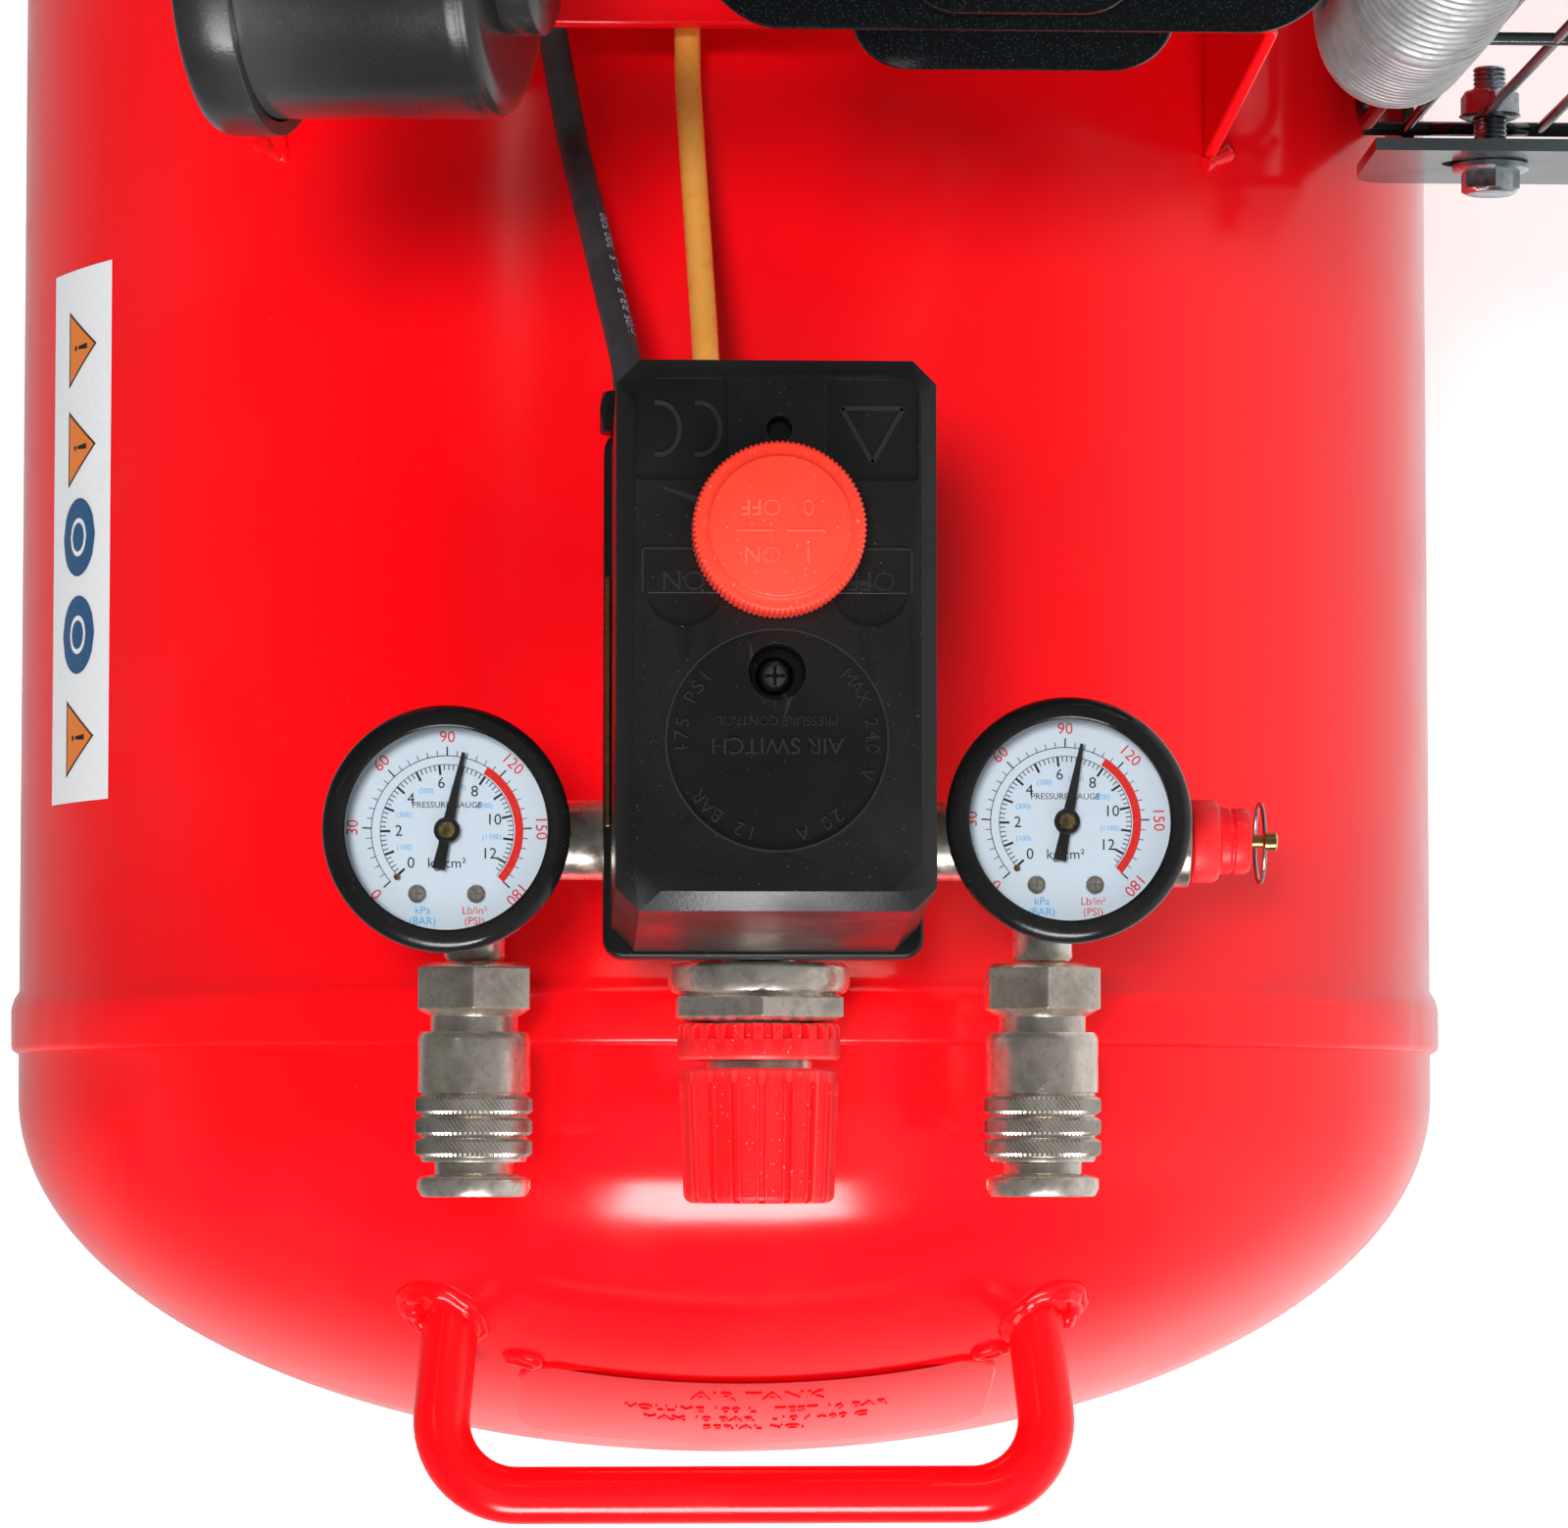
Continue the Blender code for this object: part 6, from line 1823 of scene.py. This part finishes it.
def guard_bracket():
    """Slotted plate across the tank's shoulder, with its flange welded down."""
    back = near("guard_bracket")[1].y
    face = 0.2065
    left, bottom, top, right = 0.1505, 0.118, 0.165, 0.232
    corner = arc(left + 0.0095, bottom + 0.0095, 0.0095, 180, 270, 12)
    outline = [(left - 0.001, top)] + corner + [(right, bottom), (right, top)]
    rings = [[Vector((x, y, z)) for x, z in outline] for y in (face, face + 0.003)]
    plate = build("bracket_plate", *skin(rings), "black_paint", stands_for=["guard_bracket"])
    ends = []
    for cx, start in ((0.182, -90), (0.173, 90)):
        for k in range(17):
            a = math.radians(start + 180 * k / 16)
            ends.append((cx + 0.0048 * math.cos(a), BOLT_Z + 0.0048 * math.sin(a)))
    cut(plate, *skin([[Vector((x, y, z)) for x, z in ends] for y in (face - 0.01, face + 0.02)]))
    flange = Parts()
    shape = ((face + 0.0031, 0.126), (face + 0.0031, 0.119), (0.225, 0.0905), (back, 0.0905),
             (back, 0.126))
    flange.add(*skin([[Vector((x, y, z)) for y, z in shape] for x in (0.162, 0.165)]))
    flange.build("bracket_flange", "black_paint", bevel=0.0005)
    welds = Parts()
    x = 0.1668
    z = math.sqrt(TANK_R ** 2 - x ** 2) + 0.001
    run = [Vector((x, 0.226 + 0.002 * k, z)) for k in range(20)]
    weld_bead(welds, run, 0.0022, 5)
    welds.build("bracket_weld", "red_paint", sharp=80)


def guard_bolt():
    """Zinc flange bolt and nut with a chamfered thread."""
    thread = []
    for k in range(22):
        y = 0.2062 + 0.00110 * k
        thread += [(0.0040, y), (0.0036, y + 0.00055)]
    bolt = [(0, 0.1990), (0.0056, 0.1990), (0.0060, 0.1992), (0.0065, 0.2000, "hex"),
            (0.0065, 0.2042, "hex"), (0.0086, 0.2045), (0.0092, 0.2049), (0.0092, 0.2060),
            (0.0090, 0.2062)]
    bolt += thread + [(0.0034, 0.2298), (0, 0.2298)]
    nut = [(0.0042, 0.2175), (0.0064, 0.2175), (0.0075, 0.2181), (0.0065, 0.2184, "hex"),
           (0.0065, 0.2231, "hex"), (0.0060, 0.2240), (0.0042, 0.2240)]
    at = (BOLT_X, 0, BOLT_Z)
    turned("guard_bolt_body", bolt, "zinc", at, (0, 1, 0), 72, stands_for=["guard_bolt"])
    turned("guard_nut", nut, "zinc", at, (0, 1, 0), 72)


flywheel()
motor_pulley()
drive_belt()
motor()
belt_guard()
guard_bracket()
guard_bolt()

# ---- Wheels and feet -------------------------------------------------------------------------

AXLE_Y, AXLE_Z = 0.700, -0.200


def wheel(side, sign):
    """Disc wheel with six round openings and a ribbed rubber tyre."""
    tyre = [(0.0735, 0.1962), (0.090, 0.1960)] + arc(0.0905, 0.206, 0.0095, -90, 0, 6)
    tyre += [(0.1000, 0.2105), (0.0985, 0.2110), (0.0985, 0.2125), (0.1000, 0.2130), (0.1000, 0.2155),
             (0.0985, 0.2160), (0.0985, 0.2175), (0.1000, 0.2180)]
    tyre += arc(0.0905, 0.2225, 0.0095, 0, 90, 6) + [(0.0735, 0.2318)]

    def lugs(angle, r, h):
        return r - 0.0007 * (math.cos(angle * 60) > 0.55) if r > 0.0995 else r
    at = (0, AXLE_Y, AXLE_Z)
    body = "wheel_" + side
    turned("tyre_" + side, tyre, "rubber", at, (sign, 0, 0), 240, lugs, body=body,
           stands_for=[body], sharp=50)
    rim = [(0.0083, 0.196), (0.0200, 0.196), (0.0220, 0.2055), (0.0640, 0.2060), (0.0700, 0.1975),
           (0.0732, 0.1970), (0.0732, 0.2308), (0.0700, 0.2300), (0.0640, 0.2210), (0.0220, 0.2215),
           (0.0200, 0.232), (0.0083, 0.232)]
    disc = turned("rim_" + side, rim, "black_plastic", at, (sign, 0, 0), 120, body=body, sharp=40)
    start = (sign * 0.190, AXLE_Y, AXLE_Z)
    round_openings(disc, start, sign, 0.044, 0.012, 0.05, range(0, 360, 60), 32)


def channel(name, node, half, plate_z, foot_x, front, back, low_edge):
    """Bent plate below the tank with its legs welded to the shell."""
    plate = WALL
    outer = math.sqrt(TANK_R ** 2 - foot_x ** 2)
    inner = math.sqrt(TANK_R ** 2 - (foot_x - plate) ** 2)
    section = [(-half + plate, plate_z - plate), (-foot_x + plate, inner), (-foot_x, outer),
               (-half, plate_z - low_edge), (-half + low_edge * 0.3, plate_z - low_edge * 0.3),
               (-half + low_edge, plate_z)]
    section += [(-x, z) for x, z in reversed(section)]
    rings = [[Vector((x, y, -z)) for x, z in section] for y in (front, back)]
    build(name, *skin(rings), "red_paint", stands_for=[node], bevel=0.0008)
    welds = Parts()
    for side in (-1, 1):
        run = [Vector((side * foot_x, front + 0.002 + 0.003 * k, -outer - 0.0005))
               for k in range(int((back - front) / 0.003))]
        weld_bead(welds, run, 0.0019, side * 4 + half)
    welds.build(name + "_welds", "red_paint", sharp=80)


def feet_and_axle():
    """Front leg with its rubber buffers, and the axle bracket with the axle."""
    channel("leg_plate", "front_leg", 0.130, 0.274, 0.095, 0.060, 0.120, 0.004)
    channel("axle_plate", "axle_bracket", 0.104, 0.222, 0.090, 0.680, 0.720, 0.004)
    for side, x in (("left", -0.100), ("right", 0.100)):
        buffer = [(0, -0.300), (0.0190, -0.300), (0.0205, -0.2995), (0.0215, -0.2985), (0.0225, -0.2960),
                  (0.0250, -0.2765), (0.0246, -0.2745), (0, -0.2743)]
        turned("buffer_" + side, buffer, "rubber", (x, 0.090, 0), segments=72,
               stands_for=["foot_" + side])
    axle = [(0, -0.2363), (0.0125, -0.2363), (0.013, -0.2358), (0.013, -0.2333), (0.008, -0.2333),
            (0.008, 0.2333), (0.013, 0.2333), (0.013, 0.2358), (0.0125, 0.2363), (0, 0.2363)]
    turned("axle_rod", axle, "zinc", (0, AXLE_Y, AXLE_Z), (1, 0, 0), 64)


def drain():
    """Brass drain plug with a knurled thumb wheel."""
    sections = [(0, -0.179), (0.0085, -0.179), (0.0085, -0.1858), (0.0124, -0.1860),
                (0.0130, -0.1868, "hex"), (0.0130, -0.1950, "hex"), (0.0122, -0.1960),
                (0.006, -0.198), (0.006, -0.203), (0.0095, -0.2038), (0.0100, -0.2045),
                (0.0100, -0.2132), (0.0095, -0.214), (0, -0.214)]

    def knurl(angle, r, z):
        return r - 0.0005 * (math.cos(angle * 30) > 0) if z < -0.2042 and r > 0.0098 else r
    turned("drain_plug", sections, "brass", (0, 0.400, 0), segments=180, radial=knurl,
           body="drain_valve", stands_for=["drain_valve"])


wheel("left", -1)
wheel("right", 1)
feet_and_axle()
drain()

# ---- Carried-over nodes ----------------------------------------------------------------------


def carry_over():
    """Give every node that still shows the finish of its slot."""
    for entry in frame["record"]["subparts"]:
        obj = NODES[entry["node"]]
        if obj.hide_render:
            continue
        obj.data.materials.clear()
        obj.data.materials.append(LOOKS[entry["material_slot"]])


carry_over()
